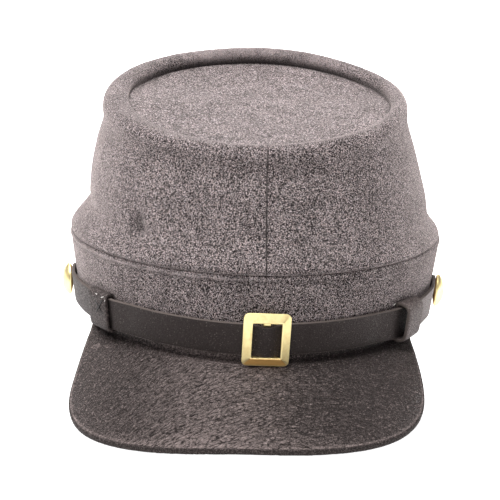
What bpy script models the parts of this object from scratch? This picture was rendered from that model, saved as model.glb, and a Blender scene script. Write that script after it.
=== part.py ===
"""Kepi: a round wool cap with a sunken top, a leather peak and a chin strap with a brass buckle.

The cap is drawn level in its own axes: origin at the middle of the band's lower edge, front
towards -Y, +X towards the right of someone who looks at the front. At the end it is leant back
until the peak's edge and the band's back edge lie on one level, which is how it rests.
A "turn" is an angle round the head from the front, positive towards +X, in degrees.
"""

import math

import bmesh
import bpy
from mathutils import Matrix, Vector

MM = 0.001

# ---- clearances and walls
GAP = 0.35 * MM                # between pieces that are sewn to or touch each other
CLOTH = 2.4 * MM               # wool with its backing
BAND_WALL = 2.6 * MM
PEAK_LEATHER = 3.0 * MM
STRAP_LEATHER = 1.8 * MM
STATIONS = 56                  # points round the head
SHARP_ANGLE = 40.0             # edges that bend more than this stay sharp in the shading

# ---- band
BAND_HEIGHT = 38.3 * MM
BAND_HALF_WIDTH = 89.5 * MM    # outside, at the lower edge
BAND_HALF_LENGTH = 102.6 * MM
BAND_FLARE_SIDE = 5.6 * MM     # how much wider the half width is at the crown seam
BAND_FLARE_ENDS = 2.2 * MM
SEAM_TUCK = 0.7 * MM           # both edges turn in at the crown seam
BAND_ROWS = (0.0, 0.22, 0.5, 0.8, 0.95)          # parts of the height, below the tucked edge

# ---- crown rim: an oval lying in a plane that dips to the front
RIM_HALF_WIDTH = 75.9 * MM
RIM_HALF_LENGTH = 77.9 * MM
RIM_HEIGHT = 109.2 * MM
RIM_FORWARD = 17.0 * MM
RIM_TO_LEFT = 1.3 * MM
RIM_SAG_COLUMNS = ("turn", "turn_reach", "drop")  # the rim isn't quite level, drop in mm
RIM_SAGS = (
    (128.0, 38.0, 2.1),
    (-160.0, 25.0, 0.4),
)
RIM_DIP = 11.0                 # degrees
WALL_STOPS_BELOW_RIM = 9.0 * MM

# The crown's side wall, from the seam up. "up" is the part of the way from the seam to the rim,
# the others are how far the cloth stands out from the straight line, in mm.
CROWN_WALL_COLUMNS = ("up", "front", "right", "back", "left")
CROWN_WALL = (
    (0.03, 0.5, -0.4, 0.5, 0.2),
    (0.09, 1.0, -2.2, 1.0, -0.6),
    (0.17, 0.3, -3.4, 0.7, -3.2),
    (0.25, -0.8, -2.6, 0.2, -5.0),
    (0.34, -1.5, -1.6, -0.3, -4.0),
    (0.50, -1.8, -1.1, -0.6, -2.3),
    (0.75, -0.9, -0.4, -0.3, -0.8),
    (1.00, -0.3, 0.2, -0.3, -0.3),
)
SEAM_LAP = 4.5 * MM            # the crown's lower edge turns in and down behind the band

# The rolled rim: "out" is measured from the rim's oval, the rises from its plane, in mm. Inside
# the crest the roll goes down to the top's edge, and "down" is the part of the way.
RIM_OUTSIDE_COLUMNS = ("out", "rise", "rise_front")
RIM_OUTSIDE = ((0.0, -4.5, -4.5), (-0.6, -1.2, -1.6), (-2.3, 0.9, -0.1), (-4.4, 1.5, 0.4))
RIM_INSIDE_COLUMNS = ("out", "down")
RIM_INSIDE = ((-6.6, 0.15), (-8.3, 0.5), (-8.55, 0.8), (-8.6, 1.0))
ROLL_WIDER_LEFT = 0.25         # how much wider the roll is at the left
ROLL_LOW_UNTIL = {"left": 70.0, "right": 45.0}      # the front's low roll reaches to these turns
ROLL_FULL_FROM = {"left": 125.0, "right": 105.0}    # and the full roll of the back starts here
TOP_SINKS_FRONT = 1.5 * MM     # the top's edge lies this far below the rim's plane
TOP_SINKS_SIDES = 3.6 * MM
TOP_SINKS_BACK = 5.6 * MM
TOP_LAP = 1.2 * MM             # how far it passes under the roll
TOP_CLEAR = 0.5 * MM           # and how far it stays below the roll's edge
TOP_RINGS = (0.35, 0.7, 1.0)

# Soft folds and dents in the crown wall, each a smooth bump. "turn" and "turn_reach" in degrees,
# "up" and "up_reach" as parts of the wall, "out" in mm.
FOLD_COLUMNS = ("turn", "up", "turn_reach", "up_reach", "out")
FOLDS = (
    (-72.0, 0.26, 18.0, 0.08, -1.0),
    (-46.0, 0.22, 8.0, 0.07, -1.2),
    (58.0, 0.33, 20.0, 0.10, -0.7),
)

# ---- peak
PEAK_HALF_WIDTH = 81.3 * MM
PEAK_TO_RIGHT = 0.9 * MM
PEAK_TAPER_LEFT = 2.6 * MM        # the peak is this much narrower on that side at the band
PEAK_TAPER_RIGHT = 4.2 * MM
PEAK_CORNERS_START = 104.6 * MM   # how far in front of the head's middle the sides turn in
PEAK_CORNER_LENGTH = 60.8 * MM
PEAK_ROUNDNESS_LEFT = 2.82        # exponents of the rounded front's two halves
PEAK_ROUNDNESS_RIGHT = 2.60
PEAK_TAPER_EXPONENT = 1.5         # how soon the narrowing towards the band fades out
PEAK_SIDE_START = 43.0 * MM       # where the peak's sides leave the band
PEAK_SLOPE = 16.8                 # degrees below the band's plane
PEAK_ROOT_UP = 7.0 * MM           # height of the root inside the band
PEAK_BEND_REACH = 6.0 * MM        # rulings shorter than this bend less
PEAK_LEVELS_OVER = 35.0 * MM      # from leaning with the band at its root, the peak comes level
# From the root out: distance from the root, and drop below the band's edge and its gap, in mm.
PEAK_BEND_COLUMNS = ("out", "drop")
PEAK_BEND = ((0.0, 0.8), (0.5, 1.9), (1.6, 2.6))
PEAK_ROWS = 5                     # rows from the bend to the edge
PEAK_FRONT_STATIONS = 36
PEAK_SIDE_STATIONS = 5

# ---- chin strap. Heights are above the band's lower edge.
STRAP_WIDTH = 15.3 * MM
STRAP_EDGE = 0.35 * MM            # rounded-off edge
STRAP_STEP = 3.0                  # degrees between sections
LOOP_WALL = 1.6 * MM
# Sections along the strap: "stand_off" is from the band to the strap's back, in mm.
STRAP_COLUMNS = ("turn", "stand_off", "height")
CHIN_STRAP = (
    (-51.0, 2.3, 10.3),
    (-44.0, 2.3, 10.2),
    (-36.0, 0.8, 10.0),
    (-26.0, 0.5, 9.5),
    (0.0, 0.5, 8.55),
    (30.0, 0.5, 8.6),
    (40.0, 0.8, 8.7),
    (48.0, 2.4, 8.8),
    (58.0, 2.4, 9.0),
    (70.0, 1.8, 9.6),
    (83.4, 0.6, 10.2),
    (87.3, 0.5, 10.4),
)
STRAP_END_LEFT = (
    (-86.6, 0.4, 10.8),
    (-83.4, 0.5, 10.7),
    (-74.0, 1.2, 10.5),
    (-60.0, 1.1, 10.4),
    (-52.0, 1.4, 10.3),
)
# Loops round the strap: inner depth and height, how far they stand off the band, in mm.
LOOP_COLUMNS = ("turn_from", "turn_to", "stand_off", "inner_depth", "inner_height", "front_corner")
LOOP_LEFT = (-53.0, -43.9, 0.4, 2.6, 16.2, 1.4)
LOOP_RIGHT = (48.8, 57.2, 0.4, 4.3, 16.3, 2.9)
LOOP_BACK_CORNER = 0.5 * MM
LOOP_CORNER_POINTS = 4

# ---- buckle, in its own axes: x along the strap, y up, z away from the band
BUCKLE_TURN = 5.5
BUCKLE_HEIGHT = 8.9 * MM
BUCKLE_SKEW = 1.2                 # degrees clockwise
BUCKLE_CORNER_POINTS = 4
# Loops of the frame, from its back outer edge round to its back inner edge, in mm.
BUCKLE_COLUMNS = ("half_width", "half_height", "corner", "depth")
BUCKLE_FRAME = (
    (10.8, 12.6, 2.4, 2.8),
    (11.0, 12.8, 2.6, 3.1),
    (10.9, 12.7, 2.5, 3.6),
    (10.0, 11.8, 1.9, 3.8),
    (7.5, 9.0, 0.8, 5.1),
    (6.75, 8.25, 0.4, 5.0),
    (6.75, 8.25, 0.4, 2.8),
)
BAR_WIDTH = 3.3 * MM
# The centre bar's side view, (height, depth) in mm: a plate behind the strap with two feet.
BAR_OUTLINE = (
    (-9.8, 0.45), (9.8, 0.45), (9.8, 3.3), (7.7, 3.3), (7.7, 1.7), (-8.45, 1.7), (-8.45, 3.3), (-9.8, 3.3),
)
STRAP_OVER_BAR = 1.7 * MM         # how much the bar lifts the strap
STRAP_OVER_BAR_REACH = 5.0 * MM
STRAP_STEPS_OVER_BAR = (0.0, 1.5, 3.0, 4.4, 6.0, 8.0)    # degrees to each side of the buckle's turn

# ---- buttons: "turn" and "height" of the middle, "lift" in mm from the strap's face to the back
BUTTON_COLUMNS = ("turn", "height", "lift")
BUTTONS = {
    "button_left": (-82.2, 10.9, 0.7),
    "button_right": (83.4, 10.6, 0.35),
}
SHANK_RADIUS = 1.3 * MM
SHANK_HOLE_RADIUS = 1.7 * MM
SHANK_HEAD_RADIUS = 3.2 * MM
SHANK_HEAD = 0.8 * MM
FACE_COLUMNS = ("r", "depth")      # the turned face, in mm from its back outwards
BUTTON_FACE = (
    (7.0, 0.0), (8.0, 0.4), (8.25, 0.9), (8.1, 1.4), (7.15, 2.5), (5.3, 3.6), (2.85, 4.35), (0.0, 4.6),
)
BUTTON_SIDES = 20
HOLE_SIDES = 12

# ---- resting pose
LEAN_SIDEWAYS = 1.32              # degrees, the +X side lower
SOLE_SINKS = 0.6 * MM             # the band's back edge is pressed flat by this much
STEEPEST_LEAN = 20.0              # degrees, the search for the resting lean ends here
CUTTER_REACH = 0.3                # metres, more than the cap's size

COLOURS = {
    "wool": ((0.135, 0.118, 0.116), 0.95, 0.0),
    "leather": ((0.028, 0.025, 0.024), 0.42, 0.0),
    "brass": ((0.82, 0.60, 0.25), 0.25, 1.0),
}


def clear_scene():
    for obj in list(bpy.data.objects):
        bpy.data.objects.remove(obj, do_unlink=True)


def material(name, kind):
    colour, roughness, metallic = COLOURS[kind]
    made = bpy.data.materials.new(name)
    made.use_nodes = True
    shader = made.node_tree.nodes["Principled BSDF"]
    shader.inputs["Base Color"].default_value = (*colour, 1.0)
    shader.inputs["Roughness"].default_value = roughness
    shader.inputs["Metallic"].default_value = metallic
    return made


def smooth(part):
    part = min(max(part, 0.0), 1.0)
    return part * part * (3.0 - 2.0 * part)


def read_table(table, columns, at):
    """Each column of a table at a value of its first one, eased between its rows."""
    rows = [dict(zip(columns, row)) for row in table]
    key = columns[0]
    if at <= rows[0][key]:
        return rows[0]
    for low, high in zip(rows, rows[1:]):
        if at <= high[key]:
            part = smooth((at - low[key]) / (high[key] - low[key]))
            return {name: low[name] + (high[name] - low[name]) * part for name in columns}
    return rows[-1]


# ---- the ovals that everything is placed on

def turn_between(first, second):
    """From one turn to another the short way, between -180 and 180."""
    return (second - first + 180.0) % 360.0 - 180.0


def oval(turn, half_width, half_length):
    angle = math.radians(turn)
    return Vector((half_width * math.sin(angle), -half_length * math.cos(angle), 0.0))


def oval_outward(turn, half_width, half_length):
    angle = math.radians(turn)
    return Vector((half_length * math.sin(angle), -half_width * math.cos(angle), 0.0)).normalized()


def band_point(turn, height, stand_off=0.0):
    """A point on the band's outside, or off it."""
    part = height / BAND_HEIGHT
    half_width = BAND_HALF_WIDTH + BAND_FLARE_SIDE * part
    half_length = BAND_HALF_LENGTH + BAND_FLARE_ENDS * part
    point = oval(turn, half_width, half_length)
    point += oval_outward(turn, half_width, half_length) * stand_off
    point.z = height
    return point


def band_axes(turn, height):
    """Along the band, up the band and out of it, as the columns of a matrix."""
    out = oval_outward(turn, BAND_HALF_WIDTH, BAND_HALF_LENGTH)
    up = (band_point(turn, height + MM) - band_point(turn, height)).normalized()
    along = up.cross(out).normalized()
    out = along.cross(up).normalized()
    return Matrix((along, up, out)).transposed()


def rim_point(turn, out, rise):
    """A point near the crown's rim, by its distance outside the oval and above its plane."""
    point = oval(turn, RIM_HALF_WIDTH, RIM_HALF_LENGTH)
    point += oval_outward(turn, RIM_HALF_WIDTH, RIM_HALF_LENGTH) * out
    point.z = rise
    for values in RIM_SAGS:
        sag = dict(zip(RIM_SAG_COLUMNS, values))
        across = turn_between(sag["turn"], turn)
        point.z -= sag["drop"] * MM * math.exp(-((across / sag["turn_reach"]) ** 2))
    point = Matrix.Rotation(math.radians(RIM_DIP), 3, "X") @ point
    return point + Vector((-RIM_TO_LEFT, -RIM_FORWARD, RIM_HEIGHT))


def turns():
    return [360.0 * index / STATIONS for index in range(STATIONS)]


# ---- mesh building

def add_object(name, mesh, finish):
    obj = bpy.data.objects.new(name, mesh)
    bpy.context.collection.objects.link(obj)
    mesh.materials.append(finish)
    return obj


def finished_mesh(name, shape):
    """The bmesh as a mesh, smooth except at its sharp edges."""
    mesh = bpy.data.meshes.new(name)
    shape.to_mesh(mesh)
    shape.free()
    mesh.shade_smooth()
    mesh.set_sharp_from_angle(angle=math.radians(SHARP_ANGLE))
    return mesh


def mesh_from_rings(name, rings, round_trip=True, caps=False, middle=None):
    """Quads between rings of points. Rings go round to their start, or stop at their ends."""
    shape = bmesh.new()
    grid = [[shape.verts.new(point) for point in ring] for ring in rings]
    last = 0 if round_trip else 1
    for low, high in zip(grid, grid[1:]):
        for index in range(len(low) - last):
            follow = (index + 1) % len(low)
            shape.faces.new((low[index], low[follow], high[follow], high[index]))
    if caps:
        shape.faces.new(list(reversed(grid[0])))
        shape.faces.new(grid[-1])
    if middle is not None:
        centre = shape.verts.new(middle)
        ring = grid[-1]
        for index, vert in enumerate(ring):
            shape.faces.new((vert, ring[(index + 1) % len(ring)], centre))
    if caps:
        bmesh.ops.recalc_face_normals(shape, faces=shape.faces)
    return finished_mesh(name, shape)


def mesh_from_loops(name, loops):
    """A closed ring-shaped solid: quads from each loop to the next and from the last to the first."""
    shape = bmesh.new()
    grid = [[shape.verts.new(point) for point in loop] for loop in loops]
    for low, high in zip(grid, grid[1:] + grid[:1]):
        for index in range(len(low)):
            follow = (index + 1) % len(low)
            shape.faces.new((low[index], low[follow], high[follow], high[index]))
    bmesh.ops.recalc_face_normals(shape, faces=shape.faces)
    return finished_mesh(name, shape)


def thicken(obj, wall):
    """Give a surface its wall, on the side away from its normals."""
    solid = obj.modifiers.new("wall", "SOLIDIFY")
    solid.thickness = wall
    solid.offset = -1.0
    solid.use_even_offset = True
    solid.use_rim = True
    return obj


def boolean(obj, other, operation):
    cut = obj.modifiers.new(operation.lower(), "BOOLEAN")
    cut.object = other
    cut.operation = operation
    cut.solver = "EXACT"
    other.hide_render = True
    other.hide_viewport = True
    other.display_type = "WIRE"


# ---- wool pieces

def make_band():
    rings = [[band_point(turn, BAND_HEIGHT * part) for turn in turns()] for part in BAND_ROWS]
    rings.append([band_point(turn, BAND_HEIGHT - GAP, -SEAM_TUCK) for turn in turns()])
    band = add_object("band", mesh_from_rings("band", rings), material("band_wool", "wool"))
    return thicken(band, BAND_WALL)


def crown_stand_off(turn, row):
    """How far the wall stands out at a turn: its four columns blended round, and the folds."""
    angle = math.radians(turn)
    ahead = math.cos(angle)
    right = math.sin(angle)
    out = ahead * ahead * row["front" if ahead > 0.0 else "back"]
    out += right * right * row["right" if right > 0.0 else "left"]
    for values in FOLDS:
        fold = dict(zip(FOLD_COLUMNS, values))
        across = turn_between(fold["turn"], turn)
        reach = (across / fold["turn_reach"]) ** 2 + ((row["up"] - fold["up"]) / fold["up_reach"]) ** 2
        out += fold["out"] * math.exp(-reach)
    return out * MM


def crown_wall_ring(row):
    ring = []
    for turn in turns():
        seam = band_point(turn, BAND_HEIGHT)
        top = rim_point(turn, 0.0, -WALL_STOPS_BELOW_RIM)
        outward = oval_outward(turn, BAND_HALF_WIDTH, BAND_HALF_LENGTH)
        ring.append(seam.lerp(top, row["up"]) + outward * crown_stand_off(turn, row))
    return ring


def roll_out(turn, out):
    """The roll is wider at the left."""
    return out * MM * (1.0 + ROLL_WIDER_LEFT * max(-math.sin(math.radians(turn)), 0.0))


def roll_fullness(turn):
    """0 at the front, where the roll is low, and 1 where it is full."""
    around = turn_between(0.0, turn)
    side = "right" if around > 0.0 else "left"
    low = ROLL_LOW_UNTIL[side]
    return smooth((abs(around) - low) / (ROLL_FULL_FROM[side] - low))


def top_rise(turn):
    """The top's edge lies deeper below the rim's plane towards the back."""
    behind = max(-math.cos(math.radians(turn)), 0.0)
    full = TOP_SINKS_SIDES + (TOP_SINKS_BACK - TOP_SINKS_SIDES) * behind
    return -(TOP_SINKS_FRONT + (full - TOP_SINKS_FRONT) * roll_fullness(turn))


def rim_rise(turn, values):
    """A row of the roll's outside, from its front height to its full one."""
    row = dict(zip(RIM_OUTSIDE_COLUMNS, values))
    return (row["rise_front"] + (row["rise"] - row["rise_front"]) * roll_fullness(turn)) * MM


def make_crown():
    inside = -(SEAM_TUCK + BAND_WALL + GAP)
    lap = (BAND_HEIGHT - SEAM_LAP, inside), (BAND_HEIGHT, inside), (BAND_HEIGHT, -SEAM_TUCK)
    rings = [[band_point(turn, height, out) for turn in turns()] for height, out in lap]
    rings += [crown_wall_ring(dict(zip(CROWN_WALL_COLUMNS, values))) for values in CROWN_WALL]
    for values in RIM_OUTSIDE:
        out = values[RIM_OUTSIDE_COLUMNS.index("out")]
        rings.append([rim_point(turn, roll_out(turn, out), rim_rise(turn, values)) for turn in turns()])
    for values in RIM_INSIDE:
        row = dict(zip(RIM_INSIDE_COLUMNS, values))
        ring = []
        for turn in turns():
            crest = rim_rise(turn, RIM_OUTSIDE[-1])
            rise = crest + (top_rise(turn) - crest) * row["down"]
            ring.append(rim_point(turn, roll_out(turn, row["out"]), rise))
        rings.append(ring)
    crown = add_object("crown", mesh_from_rings("crown", rings), material("crown_wool", "wool"))
    return thicken(crown, CLOTH)


def make_crown_top():
    """A flat round of cloth whose edge passes under the inner edge of the rolled rim."""
    edge_out = RIM_INSIDE[-1][RIM_INSIDE_COLUMNS.index("out")]
    edge = []
    for turn in turns():
        edge.append(rim_point(turn, roll_out(turn, edge_out) + TOP_LAP, top_rise(turn) - TOP_CLEAR))
    centre = sum(edge, Vector()) / len(edge)
    rings = [[centre.lerp(point, part) for point in edge] for part in reversed(TOP_RINGS)]
    mesh = mesh_from_rings("crown_top", rings, middle=centre)
    return thicken(add_object("crown_top", mesh, material("top_wool", "wool")), CLOTH)


# ---- peak

def peak_outline():
    """The peak's edge from its left end to its right, as seen from above."""
    side = []
    for index in range(PEAK_SIDE_STATIONS):
        part = index / PEAK_SIDE_STATIONS
        ahead = PEAK_SIDE_START + (PEAK_CORNERS_START - PEAK_SIDE_START) * part
        side.append((ahead, (1.0 - part) ** PEAK_TAPER_EXPONENT))
    points = [Vector((PEAK_TAPER_LEFT * taper - PEAK_HALF_WIDTH, -ahead, 0.0)) for ahead, taper in side]
    for index in range(PEAK_FRONT_STATIONS + 1):
        angle = math.pi * (index / PEAK_FRONT_STATIONS - 0.5)
        power = 2.0 / (PEAK_ROUNDNESS_LEFT if angle < 0.0 else PEAK_ROUNDNESS_RIGHT)
        across = math.copysign(abs(math.sin(angle)) ** power, angle)
        ahead = max(math.cos(angle), 0.0) ** power
        y = -(PEAK_CORNERS_START + PEAK_CORNER_LENGTH * ahead)
        points.append(Vector((PEAK_HALF_WIDTH * across, y, 0.0)))
    for ahead, taper in reversed(side):
        points.append(Vector((PEAK_HALF_WIDTH - PEAK_TAPER_RIGHT * taper, -ahead, 0.0)))
    return [point + Vector((PEAK_TO_RIGHT, 0.0, 0.0)) for point in points]


def facing_turn(point, half_width, half_length):
    """The turn whose outward line passes through a point outside the oval, by Newton's steps."""
    angle = math.atan2(point.x, -point.y)
    for _ in range(20):
        sine, cosine = math.sin(angle), math.cos(angle)
        away = Vector((half_width * sine - point.x, -half_length * cosine - point.y))
        along = Vector((half_width * cosine, half_length * sine))
        bend = Vector((-half_width * sine, half_length * cosine))
        angle -= away.dot(along) / (along.dot(along) + away.dot(bend))
    return math.degrees(angle)


def peak_section(edge):
    """One line of points from the root inside the band, round the bend and out to the edge."""
    inside = BAND_WALL + GAP
    turn = facing_turn(edge, BAND_HALF_WIDTH - inside, BAND_HALF_LENGTH - inside)
    root = band_point(turn, 0.0, -inside)
    length = (edge - root).length
    outward = (edge - root).normalized()
    bend = min(1.0, length / PEAK_BEND_REACH)
    points = [band_point(turn, PEAK_ROOT_UP, -inside), band_point(turn, 0.0, -inside)]
    levelling = math.tan(math.radians(LEAN_SIDEWAYS))
    slope = math.tan(math.radians(PEAK_SLOPE))
    rows = [dict(zip(PEAK_BEND_COLUMNS, values)) for values in PEAK_BEND]
    places = [(row["out"] * MM, row["drop"] * MM) for row in rows]
    bend_out, bend_drop = places[-1]
    for index in range(1, PEAK_ROWS + 1):
        out = bend_out + (length / bend - bend_out) * index / PEAK_ROWS
        places.append((out, bend_drop + (out - bend_out) * slope))
    for out, drop in places:
        point = root + outward * out * bend
        point.z = -GAP - drop * bend + point.x * levelling * smooth(out * bend / PEAK_LEVELS_OVER)
        points.append(point)
    return points


def make_peak():
    sections = [peak_section(edge) for edge in peak_outline()]
    rings = [list(row) for row in zip(*sections)]
    rings.reverse()
    mesh = mesh_from_rings("peak", rings, round_trip=False)
    return thicken(add_object("peak", mesh, material("peak_leather", "leather")), PEAK_LEATHER)


# ---- strap pieces

def strap_section(turn, stand_off, height):
    """A strap's cross-section with its edges taken off, at a place on the band."""
    axes = band_axes(turn, height)
    centre = band_point(turn, height, stand_off)
    half = STRAP_WIDTH / 2.0
    edge = STRAP_EDGE
    thick = STRAP_LEATHER
    corners = (
        (-half + edge, 0.0), (half - edge, 0.0), (half, edge), (half, thick - edge),
        (half - edge, thick), (-half + edge, thick), (-half, thick - edge), (-half, edge),
    )
    return [centre + axes @ Vector((0.0, up, out)) for up, out in corners]


def over_the_bar(turn):
    """The strap's lift where it passes over the buckle's centre bar."""
    away = (band_point(turn, 0.0) - band_point(BUCKLE_TURN, 0.0)).length
    return STRAP_OVER_BAR * math.exp(-((away / STRAP_OVER_BAR_REACH) ** 2))


def strap_turns(table):
    """Turns along a strap, closer together at the buckle."""
    first, last = table[0][0], table[-1][0]
    count = math.ceil((last - first) / STRAP_STEP)
    places = [first + (last - first) * index / count for index in range(count + 1)]
    if first < BUCKLE_TURN < last:
        places = [turn for turn in places if abs(turn - BUCKLE_TURN) > STRAP_STEPS_OVER_BAR[-1]]
        places += [BUCKLE_TURN + step for step in STRAP_STEPS_OVER_BAR]
        places += [BUCKLE_TURN - step for step in STRAP_STEPS_OVER_BAR]
    return sorted(set(places))


def strap_mesh(name, table):
    sections = []
    for turn in strap_turns(table):
        row = read_table(table, STRAP_COLUMNS, turn)
        stand_off = row["stand_off"] * MM + over_the_bar(turn)
        sections.append(strap_section(turn, stand_off, row["height"] * MM))
    return mesh_from_rings(name, sections, caps=True)


def rounded_rectangle(half_width, half_height, right_corner, left_corner, corner_points):
    """Points round a rectangle with rounded corners, anticlockwise."""
    points = []
    for quarter, (side, level) in enumerate(((1, 1), (-1, 1), (-1, -1), (1, -1))):
        corner = right_corner if side > 0 else left_corner
        for index in range(corner_points):
            angle = math.pi / 2.0 * (quarter + index / (corner_points - 1))
            across = side * (half_width - corner) + corner * math.cos(angle)
            points.append((across, level * (half_height - corner) + corner * math.sin(angle)))
    return points


def loop_ring(turn, loop, grow):
    """The loop's inner edge at one turn, or with grow its outer edge."""
    height = read_table(CHIN_STRAP, STRAP_COLUMNS, turn)["height"] * MM
    axes = band_axes(turn, height)
    half_depth = loop["inner_depth"] * MM / 2.0
    centre = band_point(turn, height, loop["stand_off"] * MM + LOOP_WALL + half_depth)
    half_height = loop["inner_height"] * MM / 2.0 + grow
    front = loop["front_corner"] * MM + grow
    back = LOOP_BACK_CORNER + grow
    outline = rounded_rectangle(half_depth + grow, half_height, front, back, LOOP_CORNER_POINTS)
    return [centre + axes @ Vector((0.0, up, out)) for out, up in outline]


def loop_mesh(name, values):
    """A closed loop of leather round the strap: outer and inner skins joined at both ends."""
    loop = dict(zip(LOOP_COLUMNS, values))
    middle = (loop["turn_from"] + loop["turn_to"]) / 2.0
    places = (loop["turn_from"], middle, loop["turn_to"])
    outer = [loop_ring(turn, loop, LOOP_WALL) for turn in places]
    inner = [loop_ring(turn, loop, 0.0) for turn in reversed(places)]
    return mesh_from_loops(name, outer + inner)


def make_chin_strap():
    mesh = strap_mesh("chin_strap", CHIN_STRAP)
    return add_object("chin_strap", mesh, material("strap_leather", "leather"))


def make_strap_end_left():
    """A short strap whose front end is folded into a loop."""
    finish = material("strap_end_leather", "leather")
    strap = add_object("strap_end_left", strap_mesh("strap_end_left", STRAP_END_LEFT), finish)
    loop = add_object("strap_end_loop", loop_mesh("strap_end_loop", LOOP_LEFT), finish)
    boolean(strap, loop, "UNION")
    return strap, loop


def make_keeper_right():
    mesh = loop_mesh("keeper_right", LOOP_RIGHT)
    return add_object("keeper_right", mesh, material("keeper_leather", "leather"))


# ---- brass pieces

def make_buckle():
    """Four bars round a window, their faces sloping outwards, and a bar across the back."""
    finish = material("buckle_brass", "brass")
    axes = band_axes(BUCKLE_TURN, BUCKLE_HEIGHT) @ Matrix.Rotation(math.radians(-BUCKLE_SKEW), 3, "Z")
    centre = band_point(BUCKLE_TURN, BUCKLE_HEIGHT)

    def place(across, up, depth):
        return centre + axes @ Vector((across, up, depth))

    rings = []
    for values in BUCKLE_FRAME:
        ring = dict(zip(BUCKLE_COLUMNS, values))
        corner = ring["corner"] * MM
        outline = rounded_rectangle(
            ring["half_width"] * MM, ring["half_height"] * MM, corner, corner, BUCKLE_CORNER_POINTS)
        rings.append([place(across, up, ring["depth"] * MM) for across, up in outline])
    buckle = add_object("buckle", mesh_from_loops("buckle", rings), finish)
    half = BAR_WIDTH / 2.0
    sides = [[place(x, up * MM, depth * MM) for up, depth in BAR_OUTLINE] for x in (-half, half)]
    bar = add_object("buckle_bar", mesh_from_rings("buckle_bar", sides, caps=True), finish)
    boolean(buckle, bar, "UNION")
    return buckle, bar


def turned_mesh(name, profile, centre, axes, sides):
    """A turned solid. The profile's (radius, depth) pairs start and end on the axis."""
    shape = bmesh.new()

    def at(radius, depth, angle):
        x, y = radius * math.cos(angle), radius * math.sin(angle)
        return shape.verts.new(centre + axes @ Vector((x, y, depth)))

    first = at(0.0, profile[0][1], 0.0)
    last = at(0.0, profile[-1][1], 0.0)
    rings = []
    for radius, depth in profile[1:-1]:
        rings.append([at(radius, depth, 2.0 * math.pi * index / sides) for index in range(sides)])
    for index in range(sides):
        follow = (index + 1) % sides
        shape.faces.new((first, rings[0][follow], rings[0][index]))
        shape.faces.new((last, rings[-1][index], rings[-1][follow]))
        for low, high in zip(rings, rings[1:]):
            shape.faces.new((low[index], low[follow], high[follow], high[index]))
    bmesh.ops.recalc_face_normals(shape, faces=shape.faces)
    return finished_mesh(name, shape)


def make_button(name, strap_table):
    """A domed button and its shank, which passes through the strap and the band to a small head."""
    place = dict(zip(BUTTON_COLUMNS, BUTTONS[name]))
    strap_stand_off = read_table(strap_table, STRAP_COLUMNS, place["turn"])["stand_off"] * MM
    back = strap_stand_off + STRAP_LEATHER + place["lift"] * MM
    inside = -(BAND_WALL + 2.0 * GAP)
    axes = band_axes(place["turn"], place["height"] * MM)
    centre = band_point(place["turn"], place["height"] * MM)
    profile = [
        (0.0, inside - SHANK_HEAD), (SHANK_HEAD_RADIUS, inside - SHANK_HEAD),
        (SHANK_HEAD_RADIUS, inside), (SHANK_RADIUS, inside), (SHANK_RADIUS, back),
    ]
    for values in BUTTON_FACE:
        row = dict(zip(FACE_COLUMNS, values))
        profile.append((row["r"] * MM, back + row["depth"] * MM))
    mesh = turned_mesh(name, profile, centre, axes, BUTTON_SIDES)
    button = add_object(name, mesh, material(name + "_brass", "brass"))
    hole_profile = [
        (0.0, inside), (SHANK_HOLE_RADIUS, inside), (SHANK_HOLE_RADIUS, back), (0.0, back),
    ]
    hole_mesh = turned_mesh(name + "_hole", hole_profile, centre, axes, HOLE_SIDES)
    hole = add_object(name + "_hole", hole_mesh, button.data.materials[0])
    return button, hole


# ---- the cap laid down

def lean(back_degrees):
    sideways = Matrix.Rotation(math.radians(LEAN_SIDEWAYS), 4, "Y")
    return Matrix.Rotation(math.radians(-back_degrees), 4, "X") @ sideways


def evaluated_points(obj):
    final = obj.evaluated_get(bpy.context.evaluated_depsgraph_get())
    return [vert.co.copy() for vert in final.data.vertices]


def lowest(points, turned):
    return min((turned @ point).z for point in points)


def resting_lean(peak_points, band_points):
    """The angle at which the peak's lowest point and the band's sole lie on one level."""
    low, high = 0.0, STEEPEST_LEAN
    for _ in range(40):
        middle = (low + high) / 2.0
        turned = lean(middle)
        if lowest(peak_points, turned) < lowest(band_points, turned) + SOLE_SINKS:
            low = middle
        else:
            high = middle
    return lean(low)


def add_sole(band, turned, floor):
    """Cut the band's back edge off flat where it rests."""
    corners = ((-1.0, -1.0), (1.0, -1.0), (1.0, 1.0), (-1.0, 1.0))
    base = [Vector((x, y, -1.0)) * CUTTER_REACH for x, y in corners]
    lid = [Vector((point.x, point.y, floor)) for point in base]
    sides = [[turned.inverted() @ point for point in ring] for ring in (base, lid)]
    mesh = mesh_from_rings("sole_cutter", sides, caps=True)
    cutter = add_object("sole_cutter", mesh, band.data.materials[0])
    boolean(band, cutter, "DIFFERENCE")
    return cutter


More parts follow.
